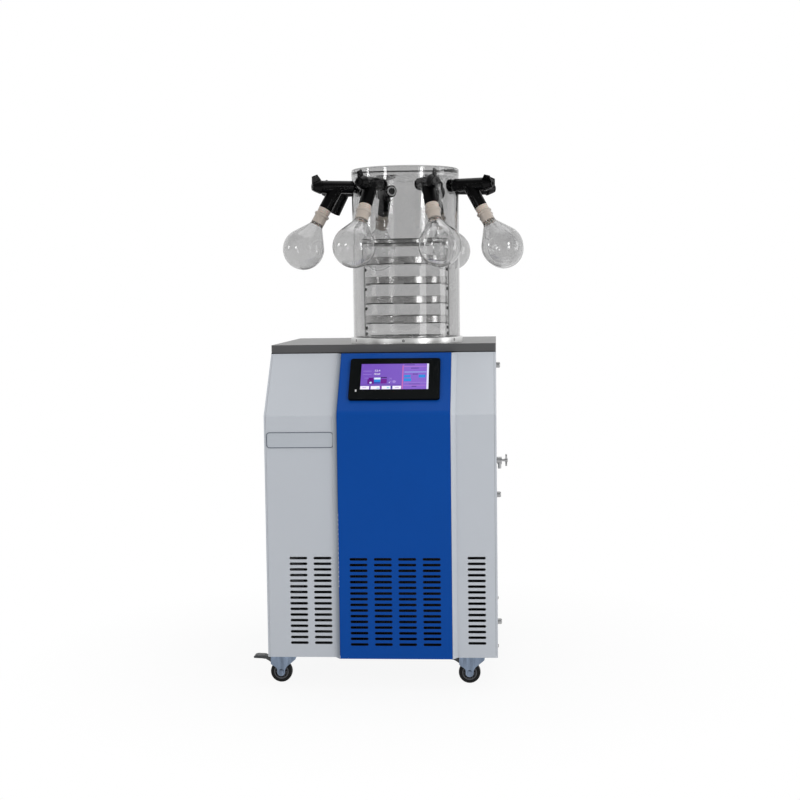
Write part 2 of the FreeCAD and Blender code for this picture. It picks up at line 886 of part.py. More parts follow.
def cold_trap():
    """Spun pot whose flange hangs under the plate's sheet round the mouth."""
    inner, wall, deep = trap_reach, size("trap_wall"), size("trap_depth")
    outer, flange, bend = inner + wall, inner + size("trap_flange"), size("trap_bend")
    body = turned([(inner, 0), (flange, 0), (flange, -wall), (outer, -wall), (outer, -deep, bend + wall),
                   (0, -deep), (0, wall - deep), (inner, wall - deep, bend)])
    keep("cold_trap", stand(body, chamber_x, chamber_y, top_z - size("plate_sheet")))


cold_trap()


def trap_coil():
    """Evaporator tube wound round the pot in half turns that each climb half the pitch and meet level, clear
    above and below the vacuum port."""
    radius = trap_reach + size("trap_wall") + size("coil_tube") + size("fit_gap")
    climb = size("coil_pitch") / 2
    tilt = axis_turn(V(0, 1, 0), math.degrees(math.atan2(climb.number / 2, radius.number)))
    halves = []
    for i in range(int(size("coil_half_turns").number)):
        half = doc.addObject("Part::Torus", "HalfTurn")
        bind(half, "Radius1", root(radius * radius + climb * climb / 4))
        bind(half, "Radius2", size("coil_tube"))
        half.Angle3 = 180
        halves.append(stand(half, z=climb * (i + 0.5), turn=axis_turn(UP, 180 * i + 90).multiply(tilt)))
    start = floor_z + size("port_height") - size("coil_pitch") * 1.5
    keep("trap_coil", stand(joined(halves), chamber_x, chamber_y, start))


trap_coil()


def compressor():
    """Hermetic compressor: two drawn shells with a welded lip, on a foot plate with rubber feet."""
    radius, high = size("compressor_radius"), size("compressor_height")
    foot, lip_reach = size("foot_height"), size("lip_reach")
    belt = foot + size("shell_belt")
    shell = turned([(0, foot), (radius, foot, size("shell_round")), (radius, belt),
                    (radius + lip_reach, belt), (radius + lip_reach, belt + lip_reach),
                    (radius, belt + lip_reach),
                    (radius, foot + high, size("shell_round")), (0, foot + high)])
    plate_half = radius + size("foot_inset")
    feet = [rod(size("foot_radius"), foot, plate_half * x, plate_half * y)
            for x in (-1, 1) for y in (-1, 1)]
    base = block(plate_half * 2 + size("foot_radius") * 2, plate_half * 2 + size("foot_radius") * 2,
                 size("foot_plate"), -plate_half - size("foot_radius"), -plate_half - size("foot_radius"),
                 foot)
    terminals = block(size("terminal_depth"), size("terminal_width"), size("terminal_width"),
                      radius - size("terminal_seat"), -size("terminal_width") / 2,
                      foot + size("terminal_rise"))
    keep("compressor", stand(joined([shell, base, terminals] + feet), centre_x + size("compressor_x"),
                             front_y + size("compressor_y"), floor_z + size("pan_wall")))


compressor()


def condenser():
    """Finned heat exchanger: end plates, a tube block, a row of fins and return bends at one end."""
    wide, high, deep = size("condenser_width"), size("condenser_height"), size("condenser_depth")
    thin, inset = size("fin_thickness"), size("core_inset")
    pieces = [block(wide, deep - inset * 2, high - inset * 2, 0, inset, inset),
              block(wide, deep, thin), block(wide, deep, thin, z=high - thin)]
    count = int(wide.number / size("fin_pitch").number)
    pitch = (wide - thin) / count
    pieces += [block(thin, deep, high, pitch * i) for i in range(count + 1)]
    bends = int(size("return_bends").number)
    for i in range(bends):
        bend = doc.addObject("Part::Torus", "Bend")
        bind(bend, "Radius1", size("bend_span") / 2)
        bind(bend, "Radius2", size("coil_tube"))
        bend.Angle3 = 180
        stand(bend, wide, deep / 2, high * (i + 0.5) / bends,
              axis_turn(V(1, 0, 0), 90).multiply(axis_turn(UP, -90)))
        pieces.append(bend)
    keep("condenser", stand(joined(pieces), centre_x + size("condenser_x") - wide / 2,
                            front_y + size("condenser_y"), floor_z + size("pan_wall")))


condenser()

# ---- Fan: its shaft lies along Y behind the condenser, and its frame stands on the pan.

fan_x = centre_x + size("condenser_x")
fan_y = front_y + size("condenser_y") + size("condenser_depth")
fan_z = floor_z + size("pan_wall") + size("condenser_height") / 2
along_y = axis_turn(V(1, 0, 0), -90)


def fan_shroud():
    """Duct plate with a round collar, three arms behind the blades, and the motor with its shaft."""
    wall, deep = size("shroud_wall"), size("fan_depth")
    wide, high = size("condenser_width"), size("condenser_height")
    reach = size("fan_radius") + size("shroud_gap")
    plate = new_body()
    outline = Drawing(plate)
    outline.box(-wide / 2, -high / 2, wide, high)
    pad(plate, outline, wall)
    collar = Drawing(plate)
    collar.circle(0, 0, reach + wall)
    pad(plate, collar, deep + wall)
    duct = Drawing(plate)
    duct.circle(0, 0, reach)
    pocket(plate, duct, both_ways=True)
    back = deep + wall
    arms = [stand(block(reach + wall, size("arm_width"), wall), y=-size("arm_width") / 2, z=back,
                  around=axis_turn(UP, 120 * i + 90)) for i in range(3)]
    motor = rod(size("motor_radius"), size("motor_length"), z=back)
    shaft = rod(size("fan_shaft"), deep - wall, z=wall * 2)
    keep("fan_shroud", stand(joined([plate, motor, shaft] + arms), fan_x, fan_y, fan_z, along_y))


fan_shroud()


def fan_rotor():
    """Hub with pitched blades, trimmed to the fan's circle, that turns on the motor's shaft."""
    deep, hub = size("fan_depth") - size("shroud_wall") * 2 - seam * 2, size("fan_hub")
    blades = []
    count = int(size("fan_blades").number)
    tip, half = size("fan_radius"), size("blade_chord") / 2
    for i in range(count):
        blade = prism("XY_Plane", [(0, -half), (tip, -half), (tip, half), (0, half)],
                      size("blade_thickness"), both_ways=True)
        pitched = axis_turn(UP, 360 / count * i).multiply(axis_turn(V(1, 0, 0), size("blade_pitch").number))
        blades.append(stand(blade, turn=pitched))
    circle = rod(size("fan_radius"), size("blade_chord"), z=-size("blade_chord") / 2)
    trimmed = doc.addObject("Part::MultiCommon", "Trimmed")
    trimmed.Shapes = [joined(blades), circle]
    solid = joined([trimmed, rod(hub, deep, z=-deep / 2)])
    bore = rod(size("fan_shaft") + size("running_gap"), deep * 2, z=-deep)
    middle = fan_y + size("shroud_wall") * 2 + seam + deep / 2
    keep("fan_rotor", stand(less(solid, bore), fan_x, middle, fan_z, along_y))


fan_rotor()


def vacuum_port():
    """Pipe from the cold trap through the rear panel, ending in a clamping flange."""
    bore, radius = size("port_bore"), size("port_radius")
    start = trap_reach + size("trap_wall")
    end = rear_y - size("chamber_y") + size("port_reach")
    flange = size("port_flange")
    body = turned([(bore, start), (radius, start), (radius, end - size("flange_cone") * 2),
                   (flange, end - size("flange_cone")), (flange, end), (bore, end)])
    keep("vacuum_port", stand(body, chamber_x, chamber_y, floor_z + size("port_height"), along_y))


vacuum_port()


# On the rear panel X runs to the left as seen from behind, Y runs up and Z runs out to the back.
rear_turn = axis_turn(UP, 180).multiply(axis_turn(V(1, 0, 0), 90))


def power_inlet():
    """Flanged mains inlet with a three-pin recess below and an opening for the rocker above."""
    wide, high, rim = size("inlet_width"), size("inlet_height"), size("inlet_rim")
    body = new_body()
    flange = Drawing(body)
    flange.box(-wide / 2, -high / 2, wide, high, size("inlet_corner"))
    pad(body, flange, size("inlet_flange"))
    case = Drawing(body)
    case.box(rim - wide / 2, rim - high / 2, wide - rim * 2, high - rim * 2)
    pad(body, case, size("inlet_depth"), reverse=True)
    face = size("inlet_flange")
    socket = Drawing(body, lift=face)
    socket.box(-size("socket_width") / 2, size("socket_foot") - high / 2, size("socket_width"),
               size("socket_height"), size("inlet_corner"))
    pocket(body, socket, size("socket_depth"))
    pins = Drawing(body, lift=face - size("socket_depth"))
    pin = size("pin_width")
    middle = size("socket_foot") - high / 2 + size("socket_height") / 2
    for x, lift in ((-1, 0), (0, 1), (1, 0)):
        pins.box(size("pin_spacing") * x - pin / 2, middle - pin + pin * lift, pin, pin * 2)
    pad(body, pins, size("socket_depth") - face)
    well = Drawing(body, lift=face)
    well.box(-size("rocker_width") / 2 - seam, size("rocker_at") - size("rocker_height") / 2,
             size("rocker_width") + seam * 2, size("rocker_height"))
    pocket(body, well, size("rocker_depth"))
    keep("power_inlet", stand(body, centre_x + size("inlet_x"), front_y + rear_y, floor_z + size("inlet_z"),
                              rear_turn))


power_inlet()


def power_switch():
    """Rocker in two flats about its pivot, resting with its lower end pressed in."""
    half = size("rocker_height") / 2 - size("rocker_clear")
    proud, dip = size("rocker_proud"), size("rocker_dip")
    body = new_body()
    side = Drawing(body, "YZ_Plane")
    side.run([(-half, proud), (0, dip), (half, proud), (half - proud, -size("rocker_keel")),
              (proud - half, -size("rocker_keel"))])
    pad(body, side, size("rocker_width"), both_ways=True)
    rest = rear_turn.multiply(axis_turn(V(1, 0, 0), -size("rocker_travel").number / 2))
    keep("power_switch", stand(body, centre_x + size("inlet_x"), front_y + rear_y + size("inlet_flange"),
                               floor_z + size("inlet_z") + size("rocker_at"), rest))


power_switch()

# ---- Drain valve on the right side, fed from the bottom of the trap.

drain_y = front_y + size("drain_y")
drain_z = floor_z + size("drain_z")
side_x = centre_x + half_width
along_x = axis_turn(V(0, 1, 0), 90)


def drain_valve_body():
    """Pipe that drops from the trap, turns to the side panel and ends in a tap with a spout below."""
    pipe, bore = size("drain_radius"), size("drain_bore")
    drop = top_z - size("plate_sheet") - size("trap_depth") - drain_z
    bend = size("drain_bend")
    start = centre_x + size("chamber_x")
    along = side_x - start
    fall = rod(pipe, drop - bend, x=start, y=drain_y, z=drain_z + bend)
    elbow = doc.addObject("Part::Torus", "Elbow")
    bind(elbow, "Radius1", bend)
    bind(elbow, "Radius2", pipe)
    elbow.Angle3 = 90
    inward = axis_turn(V(1, 0, 0), 90).multiply(axis_turn(UP, 180))
    stand(elbow, start + bend, drain_y, drain_z + bend, inward)
    tap = size("tap_radius")
    level = rod(pipe, along - bend + seam, start + bend, drain_y, drain_z, along_x)
    collar = rod(tap, size("drain_reach"), side_x + seam, drain_y, drain_z, along_x)
    spout_x = side_x + size("spout_at")
    spout = rod(size("spout_radius"), size("spout_length") + tap, spout_x, drain_y,
                drain_z - tap - size("spout_length"))
    shoulder = rod(size("spout_collar"), size("collar_drop") + tap / 2, spout_x, drain_y,
                   drain_z - tap - size("collar_drop"))
    solid = joined([fall, elbow, level, collar, spout, shoulder])
    bores = joined([rod(bore, along, start + bend, drain_y, drain_z, along_x),
                    rod(bore * 0.8, size("spout_length") + tap, spout_x, drain_y,
                        drain_z - tap - size("spout_length"))])
    socket = rod(size("tee_stem") + size("running_gap"), size("stem_depth"),
                 side_x + seam + size("drain_reach") - size("stem_depth"), drain_y, drain_z, along_x)
    keep("drain_valve_body", less(less(solid, bores), socket))


drain_valve_body()


def drain_handle():
    """Stem that turns in the tap, with a winged bar across its end, upright when shut."""
    stem_start = side_x + seam + size("drain_reach") - size("stem_depth") + seam
    stem = rod(size("tee_stem"), size("stem_depth") + size("tee_stand"), stem_start, drain_y, drain_z,
               along_x)
    bar_x = stem_start + size("stem_depth") + size("tee_stand")
    hub = rod(size("tee_hub"), size("tee_thickness"), bar_x - size("tee_thickness") / 2, drain_y, drain_z,
              along_x)
    wing_body = new_body()
    wing = Drawing(wing_body, "YZ_Plane")
    half, waist, tip, ease = size("tee_length") / 2, size("tee_waist"), size("tee_hub"), size("tee_round")
    wing.run([(-waist, 0), (-tip, half, ease), (tip, half, ease), (waist, 0),
              (tip, -half, ease), (-tip, -half, ease)])
    pad(wing_body, wing, size("wing_thickness"), both_ways=True)
    stand(wing_body, bar_x, drain_y, drain_z)
    keep("drain_handle", joined([stem, hub, wing_body]))


drain_handle()


def panel_screws():
    """Thumb screws that hold the right side panel, clear of a hose on the drain spout: a domed head and a
    shank through the sheet."""
    reach, head, shank = size("stud_reach"), size("stud_radius"), size("stud_radius") / 2
    screws = []
    for z in (size("stud_low"), size("stud_middle"), size("stud_high")):
        screw = turned([(0, -size("stud_shank")), (shank, -size("stud_shank")), (shank, 0), (head, 0),
                        (head, reach, size("stud_round")), (0, reach)])
        screws.append(stand(screw, side_x, front_y + size("stud_y"), floor_z + z, along_x))
    keep("panel_screws", group(screws))


panel_screws()

# ---- Drying chamber.


port_count = int(size("port_count").number)


def port_turn(index):
    """Turn about Z that takes +X out along a port; the first stands a little right of the front."""
    return size("port_first").number - 90 + 360 / port_count * index


def chamber():
    """Base ring, seal, clear tube with its port holes, and lid, all on the chamber's axis."""
    inner, outer = tube_reach - size("ring_ledge"), tube_reach + size("ring_wall")
    floor = size("ring_floor")
    tube, wall, gap = size("tube_radius"), size("tube_wall"), size("tube_gap")
    high = size("ring_height")
    ring = turned([(inner, 0), (outer, 0), (outer, high, size("ring_round")), (tube + gap, high),
                   (tube + gap, floor), (inner, floor)])
    keep("base_ring", stand(ring, chamber_x, chamber_y, top_z))
    seal_top = floor + size("seal_thickness")
    seal = turned([(tube - wall - gap, floor), (tube + gap / 2, floor), (tube + gap / 2, seal_top),
                   (tube - wall - gap, seal_top)])
    keep("chamber_seal", stand(seal, chamber_x, chamber_y, top_z))
    clear = new_body()
    walls = Drawing(clear, lift=seal_top)
    walls.circle(0, 0, tube)
    walls.circle(0, 0, tube - wall)
    pad(clear, walls, size("lid_under") - seal_top)
    port = Drawing(clear, "YZ_Plane")
    port.circle(0, size("port_level"), size("stem_radius") + size("stem_clearance"))
    drilled = pocket(clear, port, tube + wall, reverse=True)
    ports = clear.newObject("PartDesign::PolarPattern", "Ports")
    ports.Originals = [drilled]
    ports.Axis = (walls.sketch, ["N_Axis"])
    ports.Angle = 360
    ports.Occurrences = port_count
    clear.Tip = ports
    keep("chamber_tube", stand(clear, chamber_x, chamber_y, top_z, axis_turn(UP, port_turn(0))))
    under, thick, step = size("lid_under"), size("lid_thickness"), size("lid_step")
    plug, cap = tube - wall - gap, tube + gap
    lid = turned([(0, under - step), (plug, under - step), (plug, under), (cap, under),
                  (cap, under + thick, size("lid_round")), (0, under + thick)])
    keep("chamber_lid", stand(lid, chamber_x, chamber_y, top_z))


chamber()


def rack_frame():
    """Tray rack: a ring on four feet, two flat posts with holes and shelf tabs, and a rimmed cap."""
    ring, foot, flat = rack_reach, size("rack_foot"), size("rack_sheet")
    high, cap = size("rack_height"), size("rack_cap")
    inner = tray_reach + size("post_gap")
    pieces = [turned([(ring - size("rack_ring"), foot), (ring, foot), (ring, foot + flat),
                      (ring - size("rack_ring"), foot + flat)]),
              turned([(0, high - flat), (inner - flat, high - flat), (inner - flat, high - cap),
                      (inner + flat, high - cap), (inner + flat, high), (0, high)])]
    wide = size("post_flat")
    across = (inner + flat) * 2
    holes = []
    for turn in (-180, -90, 0, 90):
        pieces.append(stand(rod(size("rack_foot_radius"), foot), around=axis_turn(UP, turn),
                            x=ring - size("rack_ring") / 2))
    for turn in (-180, 0):
        pieces.append(stand(block(flat, wide, high - foot), around=axis_turn(UP, turn), x=inner, y=-wide / 2,
                            z=foot))
    for i in range(int(size("tray_count").number)):
        level = size("tray_first") + size("tray_pitch") * i
        for turn in (-180, 0):
            tab = block(size("shelf_reach") + flat, wide, flat)
            pieces.append(stand(tab, around=axis_turn(UP, turn), x=inner - size("shelf_reach"), y=-wide / 2,
                                z=level - flat))
        for step in (1, 2):
            height = level + size("tray_pitch") * step / 3
            holes.append(rod(size("post_hole"), across, -across / 2, 0, height, along_x))
    keep("rack_frame", stand(less(joined(pieces), joined(holes)), chamber_x, chamber_y, top_z))


def trays():
    """Turned trays with a pull tab at the front, resting on the rack's shelf tabs."""
    radius, high, wall = tray_reach, size("tray_height"), size("tray_wall")
    for i in range(int(size("tray_count").number)):
        dish = turned([(0, 0), (radius, 0, wall * 2), (radius, high), (radius - wall, high),
                       (radius - wall, wall), (0, wall)])
        pull = stand(block(size("tab_width"), size("tab_reach") + wall, size("tab_height")),
                     around=axis_turn(UP, size("tab_turn").number), x=-size("tab_width") / 2,
                     y=-radius - size("tab_reach"), z=(high - size("tab_height")) / 2)
        keep("tray_%d" % (i + 1), stand(joined([dish, pull]), chamber_x, chamber_y,
                                        top_z + size("tray_first") + size("tray_pitch") * i))


rack_frame()
trays()

# ---- Manifold valves. Each is modelled with X straight out from the chamber's axis and Z up, then turned
# to its port; a branch's own axis runs from the valve's axis down and outwards.

valve_z = top_z + size("port_level")
branch_lean = axis_turn(V(0, 1, 0), 180 - size("branch_tilt").number)


def at_port(thing, index, along=0, turn=None):
    """Carry a piece out along one port's axis."""
    around = axis_turn(UP, port_turn(index))
    stand(thing, along, 0, 0, around=around)
    thing.Placement = FreeCAD.Placement(thing.Placement.Base, around.multiply(turn or FreeCAD.Rotation()))
    for axis, base in (("x", chamber_x), ("y", chamber_y), ("z", valve_z)):
        text = next(t for p, t in thing.ExpressionEngine if p.endswith("Base." + axis))
        thing.setExpression("Placement.Base." + axis, "%s + %s" % (base.text, text))
    return thing


def turned_out(corners):
    """A body turned about X from half its section, given as reach and radius."""
    body = new_body()
    drawing = Drawing(body, "XZ_Plane")
    drawing.run(corners)
    feature = body.newObject("PartDesign::Revolution", "Revolution")
    feature.Profile = drawing.sketch
    feature.ReferenceAxis = (drawing.sketch, ["H_Axis"])
    feature.Angle = 360
    return body


def valve_body():
    """Moulded tee: a stem through the chamber wall, a barrel for the plug and a leaning branch."""
    radius, stem, tube = size("valve_radius"), size("stem_radius"), size("tube_radius")
    inside = tube - size("tube_wall") - size("nut_thickness") - size("nut_seat") - size("stem_proud")
    start, end, ease = tube + size("valve_seat"), valve_end, size("valve_round")
    barrel = turned_out([(inside, 0), (inside, stem), (start, stem), (start, radius, ease),
                         (end, radius, ease / 3), (end, 0)])
    at, long = branch_at, size("branch_length")
    branch = rod(size("branch_radius"), long, at, 0, 0, branch_lean)
    chamber_bore = rod(size("plug_radius") + size("running_gap"), end - plug_inner + seam,
                       plug_inner - seam, 0, 0, along_x)
    way_in = rod(size("plug_bore"), plug_inner - inside, inside, 0, 0, along_x)
    duct = rod(size("plug_bore"), long, at, 0, 0, branch_lean)
    socket = rod(size("branch_bore"), long, at, 0, 0, branch_lean)
    keep_back = rod(size("branch_bore") * 2, size("socket_start"), at, 0, 0, branch_lean)
    return less(joined([barrel, branch]),
                joined([chamber_bore, way_in, duct, less(socket, keep_back)]))


def valve_plug():
    """Turning plug: bored core, tapering knob with a lever fin along its top, and a boss with an eye."""
    core, start, end = size("plug_radius"), plug_inner, valve_end + size("head_gap")
    head, shoulder, boss = size("plug_head"), size("plug_shoulder"), size("plug_boss")
    taper_end = end + size("plug_head_length")
    tip = taper_end + size("plug_boss_length")
    ease = size("valve_round")
    knob = turned_out([(start, 0), (start, core), (end, core), (end, head, ease / 4),
                       (end + size("plug_flange"), head), (taper_end, shoulder), (taper_end, boss),
                       (tip, boss, ease / 4), (tip, 0)])
    high = size("lever_height")
    lever = prism("XZ_Plane", [(end, core), (tip, boss / 2), (tip, high - size("lever_drop")),
                               (end + size("lever_lean"), high), (end, head)], size("lever_thickness"),
                  both_ways=True)
    blind = rod(size("plug_bore"), branch_at - start + size("plug_bore"), start, 0, 0, along_x)
    side_way = rod(size("plug_bore"), core * 2, branch_at, 0, 0, branch_lean)
    eye = rod(size("plug_eye"), size("plug_boss_length"), taper_end, 0, 0, along_x)
    return less(joined([knob, lever]), joined([blind, side_way, eye]))


def port_nut():
    """Round nut that draws the valve's stem tight against the inside of the chamber wall."""
    thick, radius = size("nut_thickness"), size("nut_radius")
    wall = size("tube_radius") - size("tube_wall") - size("nut_seat")
    hole = size("stem_radius") + size("fit_gap")
    return turned_out([(wall - thick, hole), (wall - thick, radius, size("nut_round")), (wall, radius),
                       (wall, hole)])


def valves():
    """All eight valves, each plug turned as it was last left, and the nuts inside the chamber."""
    moulded, nuts = [], []
    for i in range(port_count):
        moulded.append(at_port(valve_body(), i))
        nuts.append(at_port(port_nut(), i))
        turn = axis_turn(V(1, 0, 0), size("turned_lever").number if i == 1 else 0)
        keep("valve_plug_%d" % (i + 1), at_port(valve_plug(), i, turn=turn))
    keep("valve_bodies", group(moulded))
    keep("port_nuts", group(nuts))


valves()

# ---- Flasks and adapters, modelled with Z along the branch from the valve's axis, then leant and turned.


def adapter():
    """Soft tapered adapter: a spigot in the branch, two ridges and a long cone in the flask's neck."""
    mouth, rim, end = size("branch_length"), size("rim_at"), size("taper_end")
    spigot = size("branch_bore") - size("fit_gap")
    ridge, gap, bore = spigot + size("adapter_ridge"), size("fit_gap"), size("adapter_bore")
    step = (rim - mouth) / 5
    return turned([(bore, mouth - size("adapter_in")), (spigot, mouth - size("adapter_in")),
                   (spigot, mouth + gap), (ridge, mouth + gap), (ridge, mouth + step),
                   (spigot, mouth + step), (spigot, mouth + step * 3), (ridge, mouth + step * 3),
                   (ridge, rim - step), (spigot, rim - step), (size("taper_top") - gap, rim),
                   (size("taper_foot") - gap, end), (bore, end)])


def tangent_point(neck, at, centre, radius):
    """Where a straight side from (neck, at) meets the bulb's circle, as radius and place along the axis."""
    reach = centre - at
    square = reach * reach + neck * neck
    touch = root(square - radius * radius)
    return (neck + touch * (radius * reach - touch * neck) / square,
            at + touch * (touch * reach + radius * neck) / square)


def flask():
    """Blown pear-shaped flask: beaded rim, ground neck, and straight shoulders tangent to a round bulb."""
    glass, neck, rim, collar = size("glass"), size("neck_radius"), size("rim_at"), size("collar_radius")
    bulb = size("bulb_radius")
    lean = math.radians(size("shoulder_lean").number)
    centre = size("neck_end") + (bulb - neck * math.cos(lean)) / math.sin(lean)
    inner_neck, inner_at = neck - glass, size("taper_end") + glass
    outer = tangent_point(neck, size("neck_end"), centre, bulb)
    inner = tangent_point(inner_neck, inner_at, centre, bulb - glass)
    bead, ease = size("collar_height"), size("collar_round")
    body = new_body()
    drawing = Drawing(body, "XZ_Plane")
    sides = drawing.run([inner, (inner_neck, inner_at), (size("taper_foot"), size("taper_end")),
                         (size("taper_top"), rim), (collar, rim, ease), (collar, rim + bead, ease),
                         (neck, rim + bead + glass), (neck, size("neck_end"), size("neck_blend")), outer],
                        closed=False)
    poles = []
    for radius, tip, line, end in ((bulb, outer, sides[-1], 2), (bulb - glass, inner, sides[0], 1)):
        centre_point = V(0, number_of(centre), 0)
        start = math.atan2(number_of(tip[1] - centre), number_of(tip[0]))
        circle = Part.Circle(centre_point, UP, number_of(radius))
        arc = drawing.sketch.addGeometry(Part.ArcOfCircle(circle, start, math.pi / 2), False)
        drawing.hold(arc, 3, 0, centre)
        drawing.rule("Coincident", arc, 1, line, end)
        drawing.rule("PointOnObject", arc, 2, -2)
        poles.append(arc)
    wall = drawing.sketch.addGeometry(Part.LineSegment(drawing.point(poles[0], 2),
                                                       drawing.point(poles[1], 2)), False)
    drawing.rule("Coincident", poles[0], 2, wall, 1)
    drawing.rule("Coincident", poles[1], 2, wall, 2)
    feature = body.newObject("PartDesign::Revolution", "Revolution")
    feature.Profile = drawing.sketch
    feature.ReferenceAxis = (drawing.sketch, ["V_Axis"])
    feature.Angle = 360
    return body


def flasks():
    """A flask and its adapter on every port but one, whose branch stands free."""
    adapters = []
    held = [i for i in range(port_count) if i != int(size("free_port").number)]
    for number, i in enumerate(held, start=1):
        adapters.append(at_port(adapter(), i, branch_at, branch_lean))
        keep("flask_%d" % number, at_port(flask(), i, branch_at, branch_lean))
    keep("flask_adapters", group(adapters))


flasks()

# ---- Casters, each modelled about its own swivel axis with its wheel trailing towards -X.


def caster_plate():
    """Mounting plate with four bolt holes, the fixed half of the swivel race, and the king pin."""
    side, thick, high = size("caster_plate"), size("caster_plate_thickness"), caster_height
    body = new_body()
    outline = Drawing(body, lift=high - thick)
    outline.box(-side / 2, -side / 2, side, side, size("plate_round"))
    pad(body, outline, thick)
    bolts = Drawing(body, lift=high)
    step = size("bolt_spacing") / 2
    for x in (-1, 1):
        for y in (-1, 1):
            bolts.circle(step * x, step * y, size("bolt_hole"))
    pocket(body, bolts, thick)
    race, pin = size("raceway_radius"), size("swivel_pin")
    low = high - thick - size("raceway_height")
    crown_low = low - size("swivel_gap") - size("crown_thickness")
    head = crown_low - size("swivel_gap")
    turning = turned([(0, head - pin / 2), (pin * 1.7, head - pin / 2), (pin * 1.7, head), (pin, head),
                      (pin, low), (race * 0.8, low), (race, high - thick), (0, high - thick)])
    return joined([body, turning])


def caster_fork():
    """Pressed fork: crown over the wheel, two legs, the axle bolt and the brake's pivot."""
    low = (caster_height - size("caster_plate_thickness") - size("raceway_height")
           - size("swivel_gap"))
    crown, skin_thick = size("crown_thickness"), size("fork_sheet")
    inner = size("wheel_width") / 2 + size("fork_gap")
    trail, axle = size("caster_trail"), size("wheel_radius")
    front, back = size("crown_radius"), -trail - size("ear_reach")
    nose, rear = front * 0.7, back + size("ear_reach") / 3
    top = block(nose - rear, (inner + skin_thick) * 2, crown, rear, -inner - skin_thick, low - crown)
    disc = rod(size("crown_radius"), crown, z=low - crown)
    lobe, ear = size("lobe_radius"), size("ear_radius")
    pivot_x, pivot_z = pivot_place()
    legs = []
    for side in (-1, 1):
        leg = new_body()
        outline = Drawing(leg, "XZ_Plane")
        outline.run([(nose, low), (nose, low - crown * 3, crown * 2),
                     (lobe - trail, axle + lobe, lobe * 2), (lobe - trail, axle - lobe, lobe * 0.9),
                     (-lobe - trail, axle - lobe, lobe * 0.9), (-lobe - trail, axle + lobe, lobe),
                     (pivot_x - ear, pivot_z - ear, ear * 0.9), (pivot_x - ear, low, ear * 0.8)])
        pad(leg, outline, skin_thick)
        legs.append(stand(leg, 0, inner + skin_thick if side > 0 else -inner, 0))
    across = (inner + skin_thick) * 2
    bolt = rod(size("axle_radius"), across, -trail, -across / 2, axle, along_y)
    heads = [rod(size("axle_head"), size("axle_head_thickness"), -trail, y, axle, along_y)
             for y in (-across / 2 - size("axle_head_thickness"), across / 2)]
    pin = rod(size("pedal_pin"), across, pivot_x, -across / 2, pivot_z, along_y)
    hole = rod(size("swivel_pin") + size("running_gap"), crown * 2, z=low - crown * 1.5)
    return less(joined([top, disc, bolt, pin] + legs + heads), hole)


def pivot_place():
    """The brake pivot's place: outside the wheel on its trailing side, up beside the crown."""
    clear = size("wheel_radius") + size("barrel_radius") + size("pedal_gap")
    lean = math.radians(size("pivot_lean").number)
    return (-size("caster_trail") - clear * math.sin(lean), size("wheel_radius") + clear * math.cos(lean))


def caster_wheel():
    """Wheel with a crowned tread, dished hub faces and a bored boss, on the axle bolt."""
    radius, half, hub = size("wheel_radius"), size("wheel_width") / 2, size("hub_radius")
    bore, boss, dish = size("axle_radius") + size("running_gap"), size("boss_radius"), size("hub_recess")
    ease = size("tread_round")
    return turned([(bore, -half), (boss, -half), (boss, dish - half), (hub, dish - half), (hub, -half),
                   (radius, -half, ease), (radius, half, ease), (hub, half), (hub, half - dish),
                   (boss, half - dish), (boss, half), (bore, half)])


def brake_pedal():
    """Brake lever: a barrel on the fork's pin and a foot plate that reaches out past the wheel."""
    pivot_x, pivot_z = pivot_place()
    inner = size("wheel_width") / 2 + size("fork_gap") - size("pedal_gap")
    barrel, thick = size("barrel_radius"), size("pedal_sheet")
    reach, tip_z = size("pedal_reach"), size("pedal_rise")
    turning = rod(barrel, inner * 2, 0, -inner, 0, along_y)
    knee = reach * 0.4
    arm = prism("XZ_Plane", [(0, -thick / 2), (0, thick), (-knee, tip_z), (-reach, tip_z),
                             (-reach, tip_z - thick), (-knee, tip_z - thick)], inner * 2, both_ways=True)
    tread = new_body()
    foot = Drawing(tread, lift=tip_z - thick)
    wide = size("pedal_width")
    foot.box(-reach, -wide / 2, reach - knee, wide, size("pedal_corner"))
    pad(tread, foot, thick)
    bore = rod(size("pedal_pin") + size("running_gap"), inner * 4, 0, -inner * 2, 0, along_y)
    return stand(less(joined([turning, arm, tread]), bore), pivot_x, 0, pivot_z)


def casters():
    """Four swivel casters; the two at the front have a brake."""
    inset = size("caster_inset")
    plates = []
    for name, x, y in (("front_left", -1, front_y + inset), ("front_right", 1, front_y + inset),
                       ("rear_left", -1, front_y + rear_y - inset),
                       ("rear_right", 1, front_y + rear_y - inset)):
        at = centre_x + size("caster_side") * x
        plates.append(stand(caster_plate(), at, y))
        keep("caster_fork_" + name, stand(caster_fork(), at, y))
        keep("caster_wheel_" + name, stand(caster_wheel(), at - size("caster_trail"), y,
                                           size("wheel_radius"), along_y))
        if name.startswith("front"):
            pedal = brake_pedal()
            base = pivot_place()
            keep("brake_pedal_" + name, stand(pedal, at + base[0], y, base[1]))
    keep("caster_plates", group(plates))


casters()

doc.recompute()
failed = [o.Label for o in doc.Objects if "Invalid" in o.State or "Error" in o.State]
if failed:
    raise RuntimeError("objects that did not rebuild: " + ", ".join(failed))
for name, node in nodes.items():
    if node.Shape.isNull() or not node.Shape.isValid() or not node.Shape.Solids:
        raise RuntimeError(name + " has no valid solid")
os.makedirs("parts", exist_ok=True)
for name, node in nodes.items():
    node.Shape.exportStep("parts/%s.step" % name)
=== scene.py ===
import bpy
import bmesh
import math
from mathutils import Matrix, Vector


